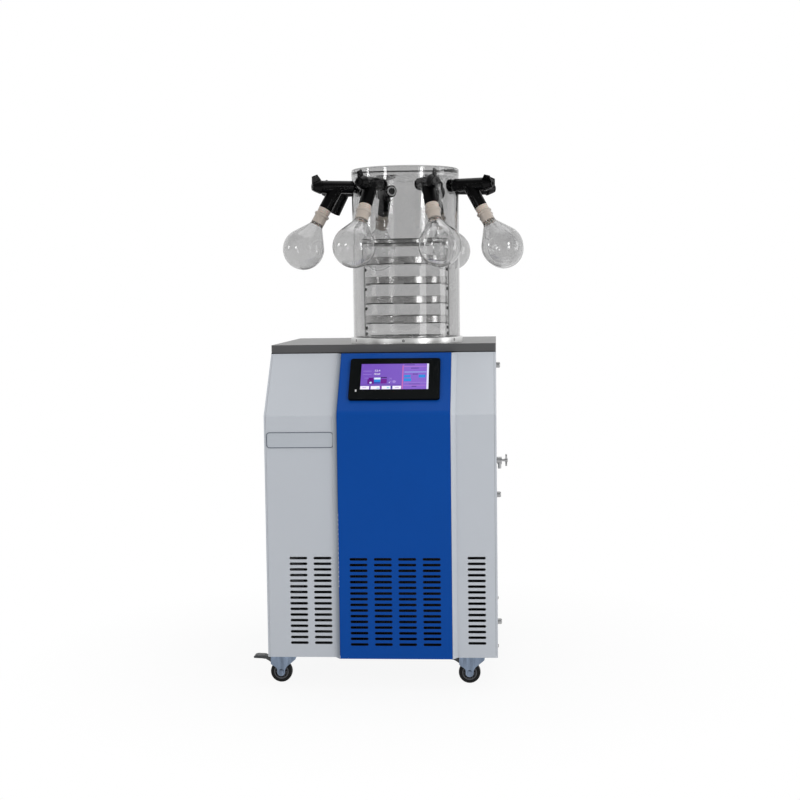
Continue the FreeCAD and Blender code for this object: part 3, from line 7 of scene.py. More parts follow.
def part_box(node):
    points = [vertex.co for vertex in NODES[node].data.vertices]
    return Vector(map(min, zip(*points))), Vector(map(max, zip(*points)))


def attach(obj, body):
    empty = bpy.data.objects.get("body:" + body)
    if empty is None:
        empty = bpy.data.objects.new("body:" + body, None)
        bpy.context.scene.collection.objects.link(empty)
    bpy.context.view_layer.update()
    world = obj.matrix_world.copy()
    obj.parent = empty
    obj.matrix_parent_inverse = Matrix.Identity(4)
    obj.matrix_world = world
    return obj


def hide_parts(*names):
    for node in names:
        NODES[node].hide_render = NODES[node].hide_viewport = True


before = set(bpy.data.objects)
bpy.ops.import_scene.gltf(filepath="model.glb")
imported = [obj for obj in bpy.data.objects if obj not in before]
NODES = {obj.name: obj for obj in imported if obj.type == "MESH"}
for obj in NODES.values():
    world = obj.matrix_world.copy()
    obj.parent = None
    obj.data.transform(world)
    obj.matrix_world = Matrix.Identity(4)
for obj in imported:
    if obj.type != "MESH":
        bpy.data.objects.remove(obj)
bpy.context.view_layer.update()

# Manifold freeze dryer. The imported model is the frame: +X to the right, +Y to the back, +Z up, in metres.
MM = 0.001
TURN = 2 * math.pi
SOFT_EDGE = math.radians(32)
TOUCHING = 1e-7

# Cooling slots: pitch across and up, rows, lowest row; half of the straight run and the reach and fade of
# the painted shade in the slots; first column of each front panel, in millimetres.
SLOT_COLUMN, SLOT_ROW, SLOT_ROWS, SLOT_FOOT = 54.6 * MM, 12.9 * MM, 16, 106 * MM
SLOT_STRAIGHT, SLOT_REACH, SLOT_FADE = 17.1 * MM, 2.9 * MM, 3.15 * MM
LEFT_SLOTS, CENTRE_SLOTS, RIGHT_SLOTS = -201.05, -63.45, 200.35

# Fine patterns, in metres: the screen's cells, the adapters' ridges, the condenser's fins.
CELL, RIDGE, FIN = 0.0004, 0.0045, 0.0024

# Manifold, in degrees and millimetres: ports round the chamber, and where branches start and lean.
PORTS, FREE_PORT, FIRST_PORT, PORT_PITCH = 8, 5, -68.8, 45
BRANCH_REACH, BRANCH_HEIGHT, BRANCH_LEAN = 168, 1143, 30

# Tray rack, in millimetres: top plate, lowest tray above it, pitch, and number of trays.
PLATE_TOP, FIRST_TRAY, TRAY_PITCH, TRAYS = 775, 45.6, 46.3, 4

# Casters, in millimetres: swivels, axle and brake pivot behind them and above the floor, nuts and bolts.
SWIVELS = (("front_left", -230.65, -261), ("front_right", 203.35, -261),
           ("rear_left", -230.65, 238), ("rear_right", 203.35, 238))
TRAIL, AXLE_HEIGHT, PIVOT_TRAIL, PIVOT_HEIGHT = 22, 25, 39.63, 49.27
NUT_OUT, BOLT_OUT, BOLT_HEIGHT = 12.7, 21, 70


# ---- Camera

def build_camera():
    """Stands a little right of the middle at about chest height and looks slightly down."""
    yaw, pitch, roll = math.radians(-3.963), math.radians(4.340), math.radians(0.7235)
    camera = bpy.data.objects.new("camera", bpy.data.cameras.new("camera"))
    camera.data.sensor_width = 36.0
    camera.data.lens = 63.9
    camera.data.clip_end = 60.0
    turn = (Matrix.Rotation(-yaw, 4, "Z") @ Matrix.Rotation(math.pi / 2 - pitch, 4, "X")
            @ Matrix.Rotation(-roll, 4, "Z"))
    camera.matrix_world = Matrix.Translation((0.25085, -3.4625, 0.8942)) @ turn
    bpy.context.scene.collection.objects.link(camera)
    bpy.context.scene.camera = camera


# ---- Shader node groups shared by several finishes

COLOR, FLOAT, VECTOR = "NodeSocketColor", "NodeSocketFloat", "NodeSocketVector"


def new_group(name, inputs, outputs):
    """An empty shader group with named sockets, and its two end nodes."""
    group = bpy.data.node_groups.new(name, "ShaderNodeTree")
    for label, kind, value in inputs:
        socket = group.interface.new_socket(label, in_out="INPUT", socket_type=kind)
        socket.default_value = value
    for label, kind in outputs:
        group.interface.new_socket(label, in_out="OUTPUT", socket_type=kind)
    return group, group.nodes.new("NodeGroupInput"), group.nodes.new("NodeGroupOutput")


class Wiring:
    """Short calls that add nodes to one tree and join them."""

    def __init__(self, tree):
        self.tree = tree

    def node(self, kind, inputs=None, **settings):
        """A shader node, with its settings made and its inputs fed."""
        made = self.tree.nodes.new("ShaderNode" + kind)
        for name, value in settings.items():
            setattr(made, name, value)
        for name, value in (inputs or {}).items():
            self.feed(made.inputs[name], value)
        return made

    def feed(self, socket, value):
        """Join another node's output to a socket, or set a plain value."""
        if isinstance(value, bpy.types.NodeSocket):
            self.tree.links.new(value, socket)
        else:
            socket.default_value = value

    def math(self, operation, first, second=0.0):
        """Two values joined by an operation."""
        made = self.node("Math", operation=operation)
        self.feed(made.inputs[0], first)
        self.feed(made.inputs[1], second)
        return made.outputs[0]

    def mix(self, factor, first, second):
        """Two colours mixed."""
        made = self.node("Mix", data_type="RGBA")
        for index, value in ((0, factor), (6, first), (7, second)):
            self.feed(made.inputs[index], value)
        return made.outputs[2]

    def spread(self, value, low, high, start=0.0, end=1.0):
        """A value that runs from start to end, mapped to a range."""
        made = self.node("MapRange", {"Value": value, "From Min": start, "From Max": end})
        self.feed(made.inputs["To Min"], low)
        self.feed(made.inputs["To Max"], high)
        return made.outputs["Result"]

    def noise(self, vector, scale, detail=2.0):
        """Cloudy noise from 0 to 1."""
        return self.node("TexNoise", {"Vector": vector, "Scale": scale, "Detail": detail}).outputs["Fac"]

    def place(self):
        """Object coordinates, which are the row frame's."""
        return self.node("TexCoord").outputs["Object"]

    def around(self, value, centre):
        """Parts of the way from an upright axis through centre to a place."""
        away = self.node("VectorMath", operation="SUBTRACT")
        self.feed(away.inputs[0], value)
        self.feed(away.inputs[1], centre)
        parts = self.node("SeparateXYZ", {"Vector": away.outputs["Vector"]})
        flat = self.node("CombineXYZ", {"X": parts.outputs["X"], "Y": parts.outputs["Y"]})
        radius = self.node("VectorMath", {0: flat.outputs["Vector"]}, operation="LENGTH").outputs["Value"]
        return radius, parts.outputs["Z"]

    def toned(self, colour, value):
        """A colour made darker or paler."""
        return self.node("HueSaturation", {"Color": colour, "Value": value}).outputs["Color"]


SKIN = [("Color", COLOR), ("Roughness", FLOAT), ("Height", FLOAT)]


def build_enamel_group():
    """Powder coat: fine orange peel, faint clouding of the colour, and patches of more gloss."""
    group, start, end = new_group("powder coat", [
        ("Color", COLOR, (0.8, 0.8, 0.8, 1)), ("Roughness", FLOAT, 0.4), ("Peel", FLOAT, 420.0),
        ("Clouding", FLOAT, 0.03)], SKIN)
    w = Wiring(group)
    where = w.place()
    cloud = w.noise(where, 7.0, 3.0)
    w.feed(end.inputs["Color"], w.toned(start.outputs["Color"], w.spread(
        cloud, 1.0, w.math("SUBTRACT", 1.0, start.outputs["Clouding"]))))
    patch = w.noise(where, 23.0, 4.0)
    w.feed(end.inputs["Roughness"], w.math("ADD", start.outputs["Roughness"], w.spread(patch, -0.05, 0.05)))
    w.feed(end.inputs["Height"], w.noise(where, start.outputs["Peel"]))
    return group


def show_grain(w, start, end, grain, uneven):
    """Show a grain in a group's colour, gloss and height."""
    contrast = start.outputs["Contrast"]
    shade = w.spread(grain, w.math("SUBTRACT", 1.0, contrast), w.math("ADD", 1.0, contrast))
    w.feed(end.inputs["Color"], w.toned(start.outputs["Color"], shade))
    gloss = w.spread(grain, -uneven, uneven)
    w.feed(end.inputs["Roughness"], w.math("ADD", start.outputs["Roughness"], gloss))
    w.feed(end.inputs["Height"], grain)


def build_brushed_group():
    """Brushed metal: grain drawn out along one direction, in colour, gloss and surface."""
    group, start, end = new_group("brushed grain", [
        ("Color", COLOR, (0.6, 0.6, 0.6, 1)), ("Roughness", FLOAT, 0.3),
        ("Grain", VECTOR, (40.0, 900.0, 900.0)), ("Contrast", FLOAT, 0.2)], SKIN)
    w = Wiring(group)
    drawn = w.node("Mapping", {"Vector": w.place(), "Scale": start.outputs["Grain"]})
    grain = w.noise(drawn.outputs["Vector"], 1.0, 3.0)
    show_grain(w, start, end, grain, 0.08)
    return group


def build_turned_group():
    """Metal polished on a lathe: grain round an upright axis, which changes with radius and height."""
    group, start, end = new_group("turned grain", [
        ("Color", COLOR, (0.6, 0.6, 0.6, 1)), ("Roughness", FLOAT, 0.25), ("Centre", VECTOR, (0, 0, 0)),
        ("Pitch", FLOAT, 900.0), ("Contrast", FLOAT, 0.15)], SKIN)
    w = Wiring(group)
    radius, height = w.around(w.place(), start.outputs["Centre"])
    rings = w.node("CombineXYZ", {"X": radius, "Z": height})
    grain = w.noise(rings.outputs["Vector"], start.outputs["Pitch"], 3.0)
    show_grain(w, start, end, grain, 0.05)
    return group


def build_mould_group():
    """Moulded plastic or rubber: fine texture, soft scuffs that are paler and duller, and uneven gloss."""
    group, start, end = new_group("moulded skin", [
        ("Color", COLOR, (0.02, 0.02, 0.02, 1)), ("Roughness", FLOAT, 0.4), ("Texture", FLOAT, 900.0),
        ("Scuffs", FLOAT, 0.15)], SKIN)
    w = Wiring(group)
    where = w.place()
    scuff = w.math("POWER", w.noise(where, 60.0, 6.0), 3.0)
    amount = w.math("MULTIPLY", scuff, start.outputs["Scuffs"])
    w.feed(end.inputs["Color"], w.mix(amount, start.outputs["Color"], (0.5, 0.5, 0.5, 1)))
    w.feed(end.inputs["Roughness"], w.math("ADD", start.outputs["Roughness"], amount))
    w.feed(end.inputs["Height"], w.noise(where, start.outputs["Texture"]))
    return group


def build_dust_group():
    """Thin dust that settles on faces that look up."""
    group, start, end = new_group("settled dust", [
        ("Color", COLOR, (0.5, 0.5, 0.5, 1)), ("Amount", FLOAT, 0.15)], [("Color", COLOR)])
    w = Wiring(group)
    facing = w.node("SeparateXYZ", {"Vector": w.node("NewGeometry").outputs["Normal"]}).outputs["Z"]
    upward = w.math("MULTIPLY", w.math("MAXIMUM", facing, 0.0), w.noise(w.place(), 18.0, 5.0))
    w.feed(end.inputs["Color"], w.mix(w.math("MULTIPLY", upward, start.outputs["Amount"]),
                                      start.outputs["Color"], (0.62, 0.60, 0.57, 1)))
    return group


def build_branch_group():
    """How far along a manifold branch a place is. Every branch leaves the chamber at the same lean, so one
    measure serves them all."""
    group, start, end = new_group("along the branch", [
        ("Centre", VECTOR, (0, 0, 0)), ("Root", VECTOR, (0, 0, 0))], [("Distance", FLOAT)])
    w = Wiring(group)
    radius, height = w.around(w.place(), start.outputs["Centre"])
    root = w.node("SeparateXYZ", {"Vector": start.outputs["Root"]})
    out = w.math("SUBTRACT", radius, root.outputs["X"])
    down = w.math("SUBTRACT", root.outputs["Z"], height)
    lean = math.radians(BRANCH_LEAN)
    w.feed(end.inputs["Distance"], w.math("ADD", w.math("MULTIPLY", out, math.sin(lean)),
                                          w.math("MULTIPLY", down, math.cos(lean))))
    return group


def build_slot_shade_group():
    """Painted shade on the walls and edges of the cooling slots: 1 within reach of a slot of the grid, else
    0.
    """
    group, start, end = new_group("painted slot shade", [
        ("First", VECTOR, (0, 0, 0)), ("Columns", FLOAT, 1.0)], [("Mask", FLOAT)])
    w = Wiring(group)
    away = w.node("VectorMath", {0: w.place(), 1: start.outputs["First"]}, operation="SUBTRACT")
    parts = w.node("SeparateXYZ", {"Vector": away.outputs["Vector"]})
    offsets = []
    for axis, pitch, last in (("X", SLOT_COLUMN, w.math("SUBTRACT", start.outputs["Columns"], 1.0)),
                              ("Z", SLOT_ROW, SLOT_ROWS - 1.0)):
        step = w.math("ROUND", w.math("DIVIDE", parts.outputs[axis], pitch))
        step = w.math("MINIMUM", w.math("MAXIMUM", step, 0.0), last)
        offsets.append(w.math("ABSOLUTE", w.math("SUBTRACT", parts.outputs[axis],
                                                 w.math("MULTIPLY", step, pitch))))
    beyond = w.math("MAXIMUM", w.math("SUBTRACT", offsets[0], SLOT_STRAIGHT), 0.0)
    flat = w.node("CombineXYZ", {"X": beyond, "Y": offsets[1]})
    away = w.node("VectorMath", {0: flat.outputs["Vector"]}, operation="LENGTH").outputs["Value"]
    w.feed(end.inputs["Mask"], w.spread(away, 1.0, 0.0, SLOT_REACH, SLOT_FADE))
    return group


# ---- Finishes

def opened(material):
    """A material's wiring and its Principled shader."""
    return Wiring(material.node_tree), material.node_tree.nodes["Principled BSDF"]


def new_material(name):
    """An empty material, with its wiring and its Principled shader."""
    material = bpy.data.materials.new(name)
    material.use_nodes = True
    return (material, *opened(material))


def repaint(w, shader, change):
    """Send a shader's colour through a change."""
    skin = shader.inputs["Base Color"].links[0].from_socket
    w.feed(shader.inputs["Base Color"], change(skin))


def show_mixed(w, factor, first, second):
    """Send a mix of two shaders to the material's output."""
    choice = w.node("MixShader", {0: factor, 1: first.outputs[0], 2: second.outputs[0]})
    w.feed(w.tree.nodes["Material Output"].inputs["Surface"], choice.outputs[0])


def along_branch(w, centre, root):
    """How far along its branch each place is."""
    along = w.node("Group", node_tree=BRANCH)
    along.inputs["Centre"].default_value = centre
    along.inputs["Root"].default_value = root
    return along.outputs["Distance"]


def finish_of(name, group, colour, roughness, values=None, dust=0.0, bump=0.0, **plain):
    """A material: one Principled shader fed by a shared group, with plain values for the rest."""
    material, w, shader = new_material(name)
    for label, value in plain.items():
        shader.inputs[label.replace("_", " ").title().replace("Ior", "IOR")].default_value = value
    skin = w.node("Group", node_tree=group)
    for label, value in {"Color": (*colour, 1), "Roughness": roughness, **(values or {})}.items():
        skin.inputs[label].default_value = value
    shown = skin.outputs["Color"]
    if dust:
        settled = w.node("Group", node_tree=DUST)
        settled.inputs["Amount"].default_value = dust
        w.feed(settled.inputs["Color"], shown)
        shown = settled.outputs["Color"]
    w.feed(shader.inputs["Base Color"], shown)
    w.feed(shader.inputs["Roughness"], skin.outputs["Roughness"])
    if bump:
        relief = w.node("Bump", {"Strength": bump, "Distance": 0.2 * MM, "Height": skin.outputs["Height"]})
        w.feed(shader.inputs["Normal"], relief.outputs["Normal"])
    return material


def clear_finish(name, painted_through_shade, painted_edge_shade, ior, specular, frosted=None):
    """Clear solid. Its first wall looked through is greyed, painted shade of dim surroundings seen through
    it, and darker edge on, a painted dark refraction. Lamp light goes straight through it. A ground neck is
    milky between two places along its branch."""
    material, w, shader = new_material(name)
    for label, value in (("IOR", ior), ("Roughness", 0.0), ("Transmission Weight", 1.0),
                         ("Specular IOR Level", specular)):
        shader.inputs[label].default_value = value
    edge = w.math("POWER", w.node("LayerWeight", {"Blend": 0.5}).outputs["Facing"], 4.0)
    path = w.node("LightPath")
    further = w.math("GREATER_THAN", path.outputs["Transmission Depth"], 1.5)
    # Painted shade: grey on the first wall looked through, darker still edge on.
    seen = w.mix(further, w.mix(edge, painted_through_shade, painted_edge_shade), (0.96, 0.96, 0.96, 1))
    if frosted:
        along = along_branch(w, AXIS, BRANCH_ROOT)
        start, end = frosted
        ground = w.math("MULTIPLY", w.spread(along, 0.0, 1.0, start, start + 2 * MM),
                        w.spread(along, 1.0, 0.0, end - 2 * MM, end))
        w.feed(shader.inputs["Roughness"], w.math("MULTIPLY", ground, 0.3))
        w.feed(shader.inputs["Transmission Weight"], w.spread(ground, 1.0, 0.3))
        # The ground neck turns greyer edge on: painted shade.
        seen = w.mix(ground, seen, w.mix(edge, (0.56, 0.50, 0.445, 1), (0.40, 0.40, 0.395, 1)))
    w.feed(shader.inputs["Base Color"], seen)
    through = w.node("BsdfTransparent", {"Color": (0.93, 0.93, 0.93, 1)})
    show_mixed(w, path.outputs["Is Shadow Ray"], shader, through)
    return material


def lit_screen_finish(name):
    """Liquid crystal picture: the piece's own colours, crossed by the fine dark grid between the cells."""
    material, w, shader = new_material(name)
    picture = w.node("Attribute", attribute_name="picture").outputs["Color"]
    parts = w.node("SeparateXYZ", {"Vector": w.place()})
    cells = 1.0
    for axis in ("X", "Z"):
        line = w.math("SINE", w.math("MULTIPLY", parts.outputs[axis], TURN / CELL))
        cells = w.math("MULTIPLY", cells, w.spread(line, 0.9, 1.0, -1.0, 1.0))
    shown = w.toned(picture, cells)
    w.feed(shader.inputs["Base Color"], w.toned(picture, 0.25))
    w.feed(shader.inputs["Emission Color"], shown)
    shader.inputs["Emission Strength"].default_value = 0.85
    shader.inputs["Roughness"].default_value = 0.22
    shader.inputs["Specular IOR Level"].default_value = 0.25
    return material


def ribbed_finish(name, colour, centre, root):
    """Silicone sleeve with moulded grip ridges across the branch, and painted shade in bands along the
    ridges.
    """
    material = finish_of(name, MOULDED, colour, 0.42, {"Scuffs": 0.05}, subsurface_weight=0.2,
                         subsurface_scale=0.004)
    w, shader = opened(material)
    ridge = w.math("SINE", w.math("MULTIPLY", along_branch(w, centre, root), TURN / RIDGE))
    # Painted shade: the colour darkens in bands that follow the ridges.
    ridge_shade = w.spread(w.math("POWER", w.spread(ridge, 0.0, 1.0, -1.0, 1.0), 3.0), 1.0, 0.8)
    repaint(w, shader, lambda skin: w.toned(skin, ridge_shade))
    relief = w.node("Bump", {"Strength": 0.6, "Distance": 0.0008, "Height": ridge})
    w.feed(shader.inputs["Normal"], relief.outputs["Normal"])
    return material


def fins_in_painted_shade(name):
    """Condenser core: thin upright aluminium fins, the whole core darkened as painted shade of the cabinet's
    inside, with painted shade in the gaps between the fins.
    """
    # Near-black colour: painted shade of the inside of the cabinet.
    material = finish_of(name, BRUSHED, (0.05, 0.052, 0.055), 0.4, metallic=1.0)
    w, shader = opened(material)
    across = w.node("SeparateXYZ", {"Vector": w.place()}).outputs["X"]
    gap_shade = w.spread(w.math("SINE", w.math("MULTIPLY", across, TURN / FIN)), 0.12, 1.0, -0.6, 0.8)
    repaint(w, shader, lambda skin: w.toned(skin, gap_shade))
    return material


def paint_slot_shade(material, first_x, columns):
    """Paint shade into an enamel on the walls and edges of the cooling slots."""
    w, shader = opened(material)
    edge = w.node("Group", node_tree=SLOT_SHADE)
    edge.inputs["First"].default_value = (first_x * MM, 0, SLOT_FOOT)
    edge.inputs["Columns"].default_value = columns
    # Near-black painted shade where the slots are.
    repaint(w, shader, lambda skin: w.mix(edge.outputs["Mask"], skin, (0.006, 0.006, 0.007, 1)))
    return material


def paint_shade_towards(material, start_x, end_x):
    """Paint shade into an enamel towards a place across the machine, darker and bluer: the painted shade and
    painted blue bounce light of a deep corner beside a blue wall.
    """
    w, shader = opened(material)
    across = w.node("SeparateXYZ", {"Vector": w.place()}).outputs["X"]
    shade = w.spread(across, 0.0, 0.8, start_x, end_x)
    # Bluish dark grey: painted shade with painted blue bounce light.
    repaint(w, shader, lambda skin: w.mix(shade, skin, (0.085, 0.12, 0.175, 1)))


ENAMEL = build_enamel_group()
BRUSHED = build_brushed_group()
TURNED = build_turned_group()
MOULDED = build_mould_group()
DUST = build_dust_group()
BRANCH = build_branch_group()
SLOT_SHADE = build_slot_shade_group()

tube_low, tube_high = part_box("chamber_tube")
AXIS = Vector((*((tube_low + tube_high) / 2).xy, 0))

# Where a branch leaves its valve, from the chamber's axis.
BRANCH_ROOT = Vector((BRANCH_REACH * MM, 0, BRANCH_HEIGHT * MM))

# Width of the painted shade beside the blue panel.
PAINTED_SHADE_WIDTH = 11.5 * MM


def white_enamel(name):
    """Slightly dusty white powder coat."""
    return finish_of(name, ENAMEL, (0.54, 0.57, 0.615), 0.40, dust=0.05, bump=0.12, specular_ior_level=0.35)


WHITE = white_enamel("white enamel")
# The front panels' enamels get painted shade in and round their cooling slots.
WHITE_LEFT = paint_slot_shade(white_enamel("white enamel with two rows of slots"), LEFT_SLOTS, 2)
WHITE_RIGHT = paint_slot_shade(white_enamel("white enamel with one row of slots"), RIGHT_SLOTS, 1)
# The left panel's strip beside the blue panel gets painted shade.
paint_shade_towards(WHITE_LEFT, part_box("front_panel_centre")[0].x - PAINTED_SHADE_WIDTH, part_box("front_panel_centre")[0].x)
BLUE = paint_slot_shade(finish_of("blue enamel", ENAMEL, (0.0012, 0.066, 0.345), 0.34, {"Clouding": 0.08},
                         dust=0.008, bump=0.12, specular_ior_level=0.10), CENTRE_SLOTS, 4)
GREY = finish_of("grey enamel", ENAMEL, (0.078, 0.078, 0.080), 0.36, {"Peel": 700.0}, dust=0.07, bump=0.15)
ZINC = finish_of("zinc plate", BRUSHED, (0.18, 0.225, 0.30), 0.22,
                 {"Grain": (110, 110, 22), "Contrast": 0.75}, bump=0.05, metallic=1.0)
NICKEL = finish_of("dull nickel", BRUSHED, (0.42, 0.42, 0.42), 0.3,
                   {"Grain": (400, 400, 400), "Contrast": 0.15}, bump=0.05, metallic=1.0)
STAINLESS = finish_of("turned stainless", TURNED, (0.60, 0.60, 0.595), 0.2, {"Centre": AXIS}, bump=0.05,
                      metallic=1.0)
POLISHED = finish_of("polished tray", TURNED, (0.77, 0.765, 0.76), 0.17, {"Centre": AXIS, "Contrast": 0.1},
                     bump=0.03, metallic=1.0)
BEZEL = finish_of("bezel plastic", MOULDED, (0.0022, 0.0032, 0.0036), 0.3, {"Scuffs": 0.002}, bump=0.04,
                  specular_ior_level=0.05)
BLACK = finish_of("black moulding", MOULDED, (0.0022, 0.0022, 0.0024), 0.24, {"Scuffs": 0.006}, bump=0.05,
                  specular_ior_level=0.11)
OXIDE = finish_of("black oxide steel", MOULDED, (0.012, 0.012, 0.013), 0.35, {"Scuffs": 0.05}, bump=0.05,
                  metallic=0.5)
PAINTED_BLACK = finish_of("black enamel", ENAMEL, (0.012, 0.012, 0.013), 0.45, dust=0.15, bump=0.2)
RUBBER = finish_of("tyre rubber", MOULDED, (0.003, 0.003, 0.0034), 0.5, {"Scuffs": 0.02}, dust=0.015,
                   bump=0.3, specular_ior_level=0.2)
HUB = finish_of("hub plastic", MOULDED, (0.06, 0.062, 0.07), 0.42, {"Scuffs": 0.08}, dust=0.08, bump=0.1)
PEDAL = finish_of("pedal plastic", MOULDED, (0.048, 0.052, 0.058), 0.45, {"Scuffs": 0.1}, dust=0.08,
                  bump=0.15)
SILICONE = ribbed_finish("silicone adapter", (0.62, 0.54, 0.47), AXIS, BRANCH_ROOT)
COPPER = finish_of("copper tube", BRUSHED, (0.45, 0.19, 0.11), 0.3, {"Grain": (200, 200, 200)}, bump=0.05,
                   metallic=1.0)
SHADED_FINS = fins_in_painted_shade("finned aluminium in painted shade")
RING = finish_of("turned ring", TURNED, (0.74, 0.74, 0.735), 0.33, {"Centre": AXIS}, bump=0.05, metallic=1.0)
TAB = finish_of("pull tab", BRUSHED, (0.40, 0.40, 0.395), 0.4, {"Grain": (900, 60, 900)}, bump=0.05,
                metallic=0.3)
SILVER = finish_of("nameplate silver", BRUSHED, (0.49, 0.525, 0.57), 0.35,
                   {"Grain": (30, 30, 1500), "Contrast": 0.06}, bump=0.05, metallic=0.25)
RIM = finish_of("nameplate rim", BRUSHED, (0.13, 0.15, 0.185), 0.3,
                {"Grain": (60, 60, 900), "Contrast": 0.15}, metallic=0.5)
MARK = finish_of("white marking", MOULDED, (0.62, 0.62, 0.62), 0.5, {"Scuffs": 0.1})
PICTURE = lit_screen_finish("lit screen")
# Grey tints: painted shade of dim surroundings seen through; darker edge-on tints: painted dark refraction.
ACRYLIC = clear_finish("clear acrylic", (0.42, 0.42, 0.42, 1), (0.17, 0.17, 0.17, 1), 1.49, 0.14)
GLASS = clear_finish("flask glass", (0.48, 0.48, 0.48, 1), (0.15, 0.15, 0.15, 1), 1.47, 0.45,
                     (73 * MM, 100 * MM))


# ---- CAD nodes that stay

def build_soft_shading():
    """Geometry nodes that weld a CAD node's loose triangles and smooth its flatter edges."""
    group = bpy.data.node_groups.new("soft shading", "GeometryNodeTree")
    group.interface.new_socket("Geometry", in_out="INPUT", socket_type="NodeSocketGeometry")
    group.interface.new_socket("Geometry", in_out="OUTPUT", socket_type="NodeSocketGeometry")
    start, end = group.nodes.new("NodeGroupInput"), group.nodes.new("NodeGroupOutput")
    weld = group.nodes.new("GeometryNodeMergeByDistance")
    weld.inputs["Distance"].default_value = 2e-6
    angle = group.nodes.new("GeometryNodeInputMeshEdgeAngle")
    flatter = group.nodes.new("FunctionNodeCompare")
    flatter.operation = "LESS_THAN"
    flatter.inputs["B"].default_value = SOFT_EDGE
    faces = group.nodes.new("GeometryNodeSetShadeSmooth")
    edges = group.nodes.new("GeometryNodeSetShadeSmooth")
    edges.domain = "EDGE"
    for output, socket in ((start.outputs[0], weld.inputs["Geometry"]),
                           (weld.outputs["Geometry"], faces.inputs["Geometry"]),
                           (faces.outputs["Geometry"], edges.inputs["Geometry"]),
                           (angle.outputs["Unsigned Angle"], flatter.inputs["A"]),
                           (flatter.outputs["Result"], edges.inputs["Shade Smooth"]),
                           (edges.outputs["Geometry"], end.inputs[0])):
        group.links.new(output, socket)
    return group


SOFT = build_soft_shading()


def keep_flats(thing):
    """Weigh each corner's shading by the faces' sizes, so that a flat beside a small round stays flat."""
    weighing = thing.modifiers.new("flat faces", "WEIGHTED_NORMAL")
    weighing.mode = "FACE_AREA"
    weighing.weight = 50
    weighing.keep_sharp = True


def carry(name, material):
    """Keep a CAD node, with its own finish and soft shading."""
    thing = NODES[name]
    thing.data.materials.clear()
    thing.data.materials.append(material)
    thing.modifiers.new("soft shading", "NODES").node_group = SOFT
    keep_flats(thing)


def carry_all():
    """Give every CAD node its finish."""
    finishes = {
        "front_panel_left": WHITE_LEFT, "front_panel_right": WHITE_RIGHT, "front_panel_centre": BLUE,
        "side_panel_left": WHITE, "side_panel_right": WHITE, "rear_panel": WHITE, "top_plate": GREY,
        "base_frame": PAINTED_BLACK, "screen_bezel": BEZEL, "screen_glass": BEZEL, "cold_trap": STAINLESS,
        "trap_coil": COPPER, "compressor": PAINTED_BLACK, "condenser": SHADED_FINS, "fan_shroud": PAINTED_BLACK,
        "fan_rotor": BLACK, "vacuum_port": STAINLESS, "power_inlet": BLACK, "power_switch": BLACK,
        "drain_valve_body": NICKEL, "drain_handle": NICKEL, "panel_screws": NICKEL, "base_ring": RING,
        "chamber_seal": RUBBER, "chamber_tube": ACRYLIC, "chamber_lid": ACRYLIC, "rack_frame": STAINLESS,
        "valve_bodies": BLACK, "port_nuts": BLACK, "flask_adapters": SILICONE, "caster_plates": ZINC,
    }
    for start, material in (("tray_", POLISHED), ("valve_plug_", BLACK), ("flask_", GLASS),
                            ("caster_fork_", ZINC), ("caster_wheel_", RUBBER), ("brake_pedal_", PEDAL)):
        for name in NODES:
            if name.startswith(start) and name not in finishes:
                finishes[name] = material
    for name, material in finishes.items():
        carry(name, material)


# ---- Tools for the new pieces

def lathe(outline, steps, closed=False):
    """An outline of (radius, height) points turned round the Z axis."""
    bm = bmesh.new()
    verts = [bm.verts.new((radius, 0, height)) for radius, height in outline]
    edges = [bm.edges.new(pair) for pair in zip(verts, verts[1:])]
    if closed:
        edges.append(bm.edges.new((verts[-1], verts[0])))
    bmesh.ops.spin(bm, geom=verts + edges, cent=(0, 0, 0), axis=(0, 0, 1), angle=TURN, steps=steps,
                   use_merge=True)
    bmesh.ops.remove_doubles(bm, verts=bm.verts, dist=TOUCHING)
    bmesh.ops.recalc_face_normals(bm, faces=bm.faces)
    return bm


def turned(outline, steps):
    """A closed outline of (radius, height) points in millimetres, turned round the Z axis."""
    return lathe([(radius * MM, height * MM) for radius, height in outline], steps, closed=True)


def block(x, y, z):
    """A box, centred."""
    bm = bmesh.new()
    bmesh.ops.create_cube(bm, size=1.0)
    bmesh.ops.scale(bm, vec=(x, y, z), verts=bm.verts)
    return bm


def tile(width, height):
    """A flat rectangle on the XY plane, centred."""
    bm = bmesh.new()
    bmesh.ops.create_grid(bm, x_segments=1, y_segments=1, size=0.5)
    bmesh.ops.scale(bm, vec=(width, height, 1), verts=bm.verts)
    return bm


def rounded(bm, edges, offset, segments=2):
    """Round some edges of a bmesh."""
    bmesh.ops.bevel(bm, geom=edges, offset=offset, segments=segments, affect="EDGES", profile=0.5,
                    material=-1)


def verts_in(geom):
    """The vertices in what an operator gives back."""
    return [g for g in geom if isinstance(g, bmesh.types.BMVert)]


def slab(width, height, thickness, corner, segments=5):
    """A rounded rectangle on the XY plane, centred, with its back at zero."""
    bm = block(width, height, thickness)
    bmesh.ops.translate(bm, vec=(0, 0, thickness / 2), verts=bm.verts)
    upright = [e for e in bm.edges if abs(e.verts[0].co.z - e.verts[1].co.z) > thickness / 2]
    rounded(bm, upright, corner, segments)
    return bm


def moved(bm, matrix):
    """The same bmesh in another place."""
    bmesh.ops.transform(bm, matrix=matrix, verts=bm.verts)
    return bm


def gathered(parts):
    """Several bmeshes in one."""
    whole = bmesh.new()
    for part in parts:
        mesh = bpy.data.meshes.new("part")
        part.to_mesh(mesh)
        part.free()
        whole.from_mesh(mesh)
        bpy.data.meshes.remove(mesh)
    return whole


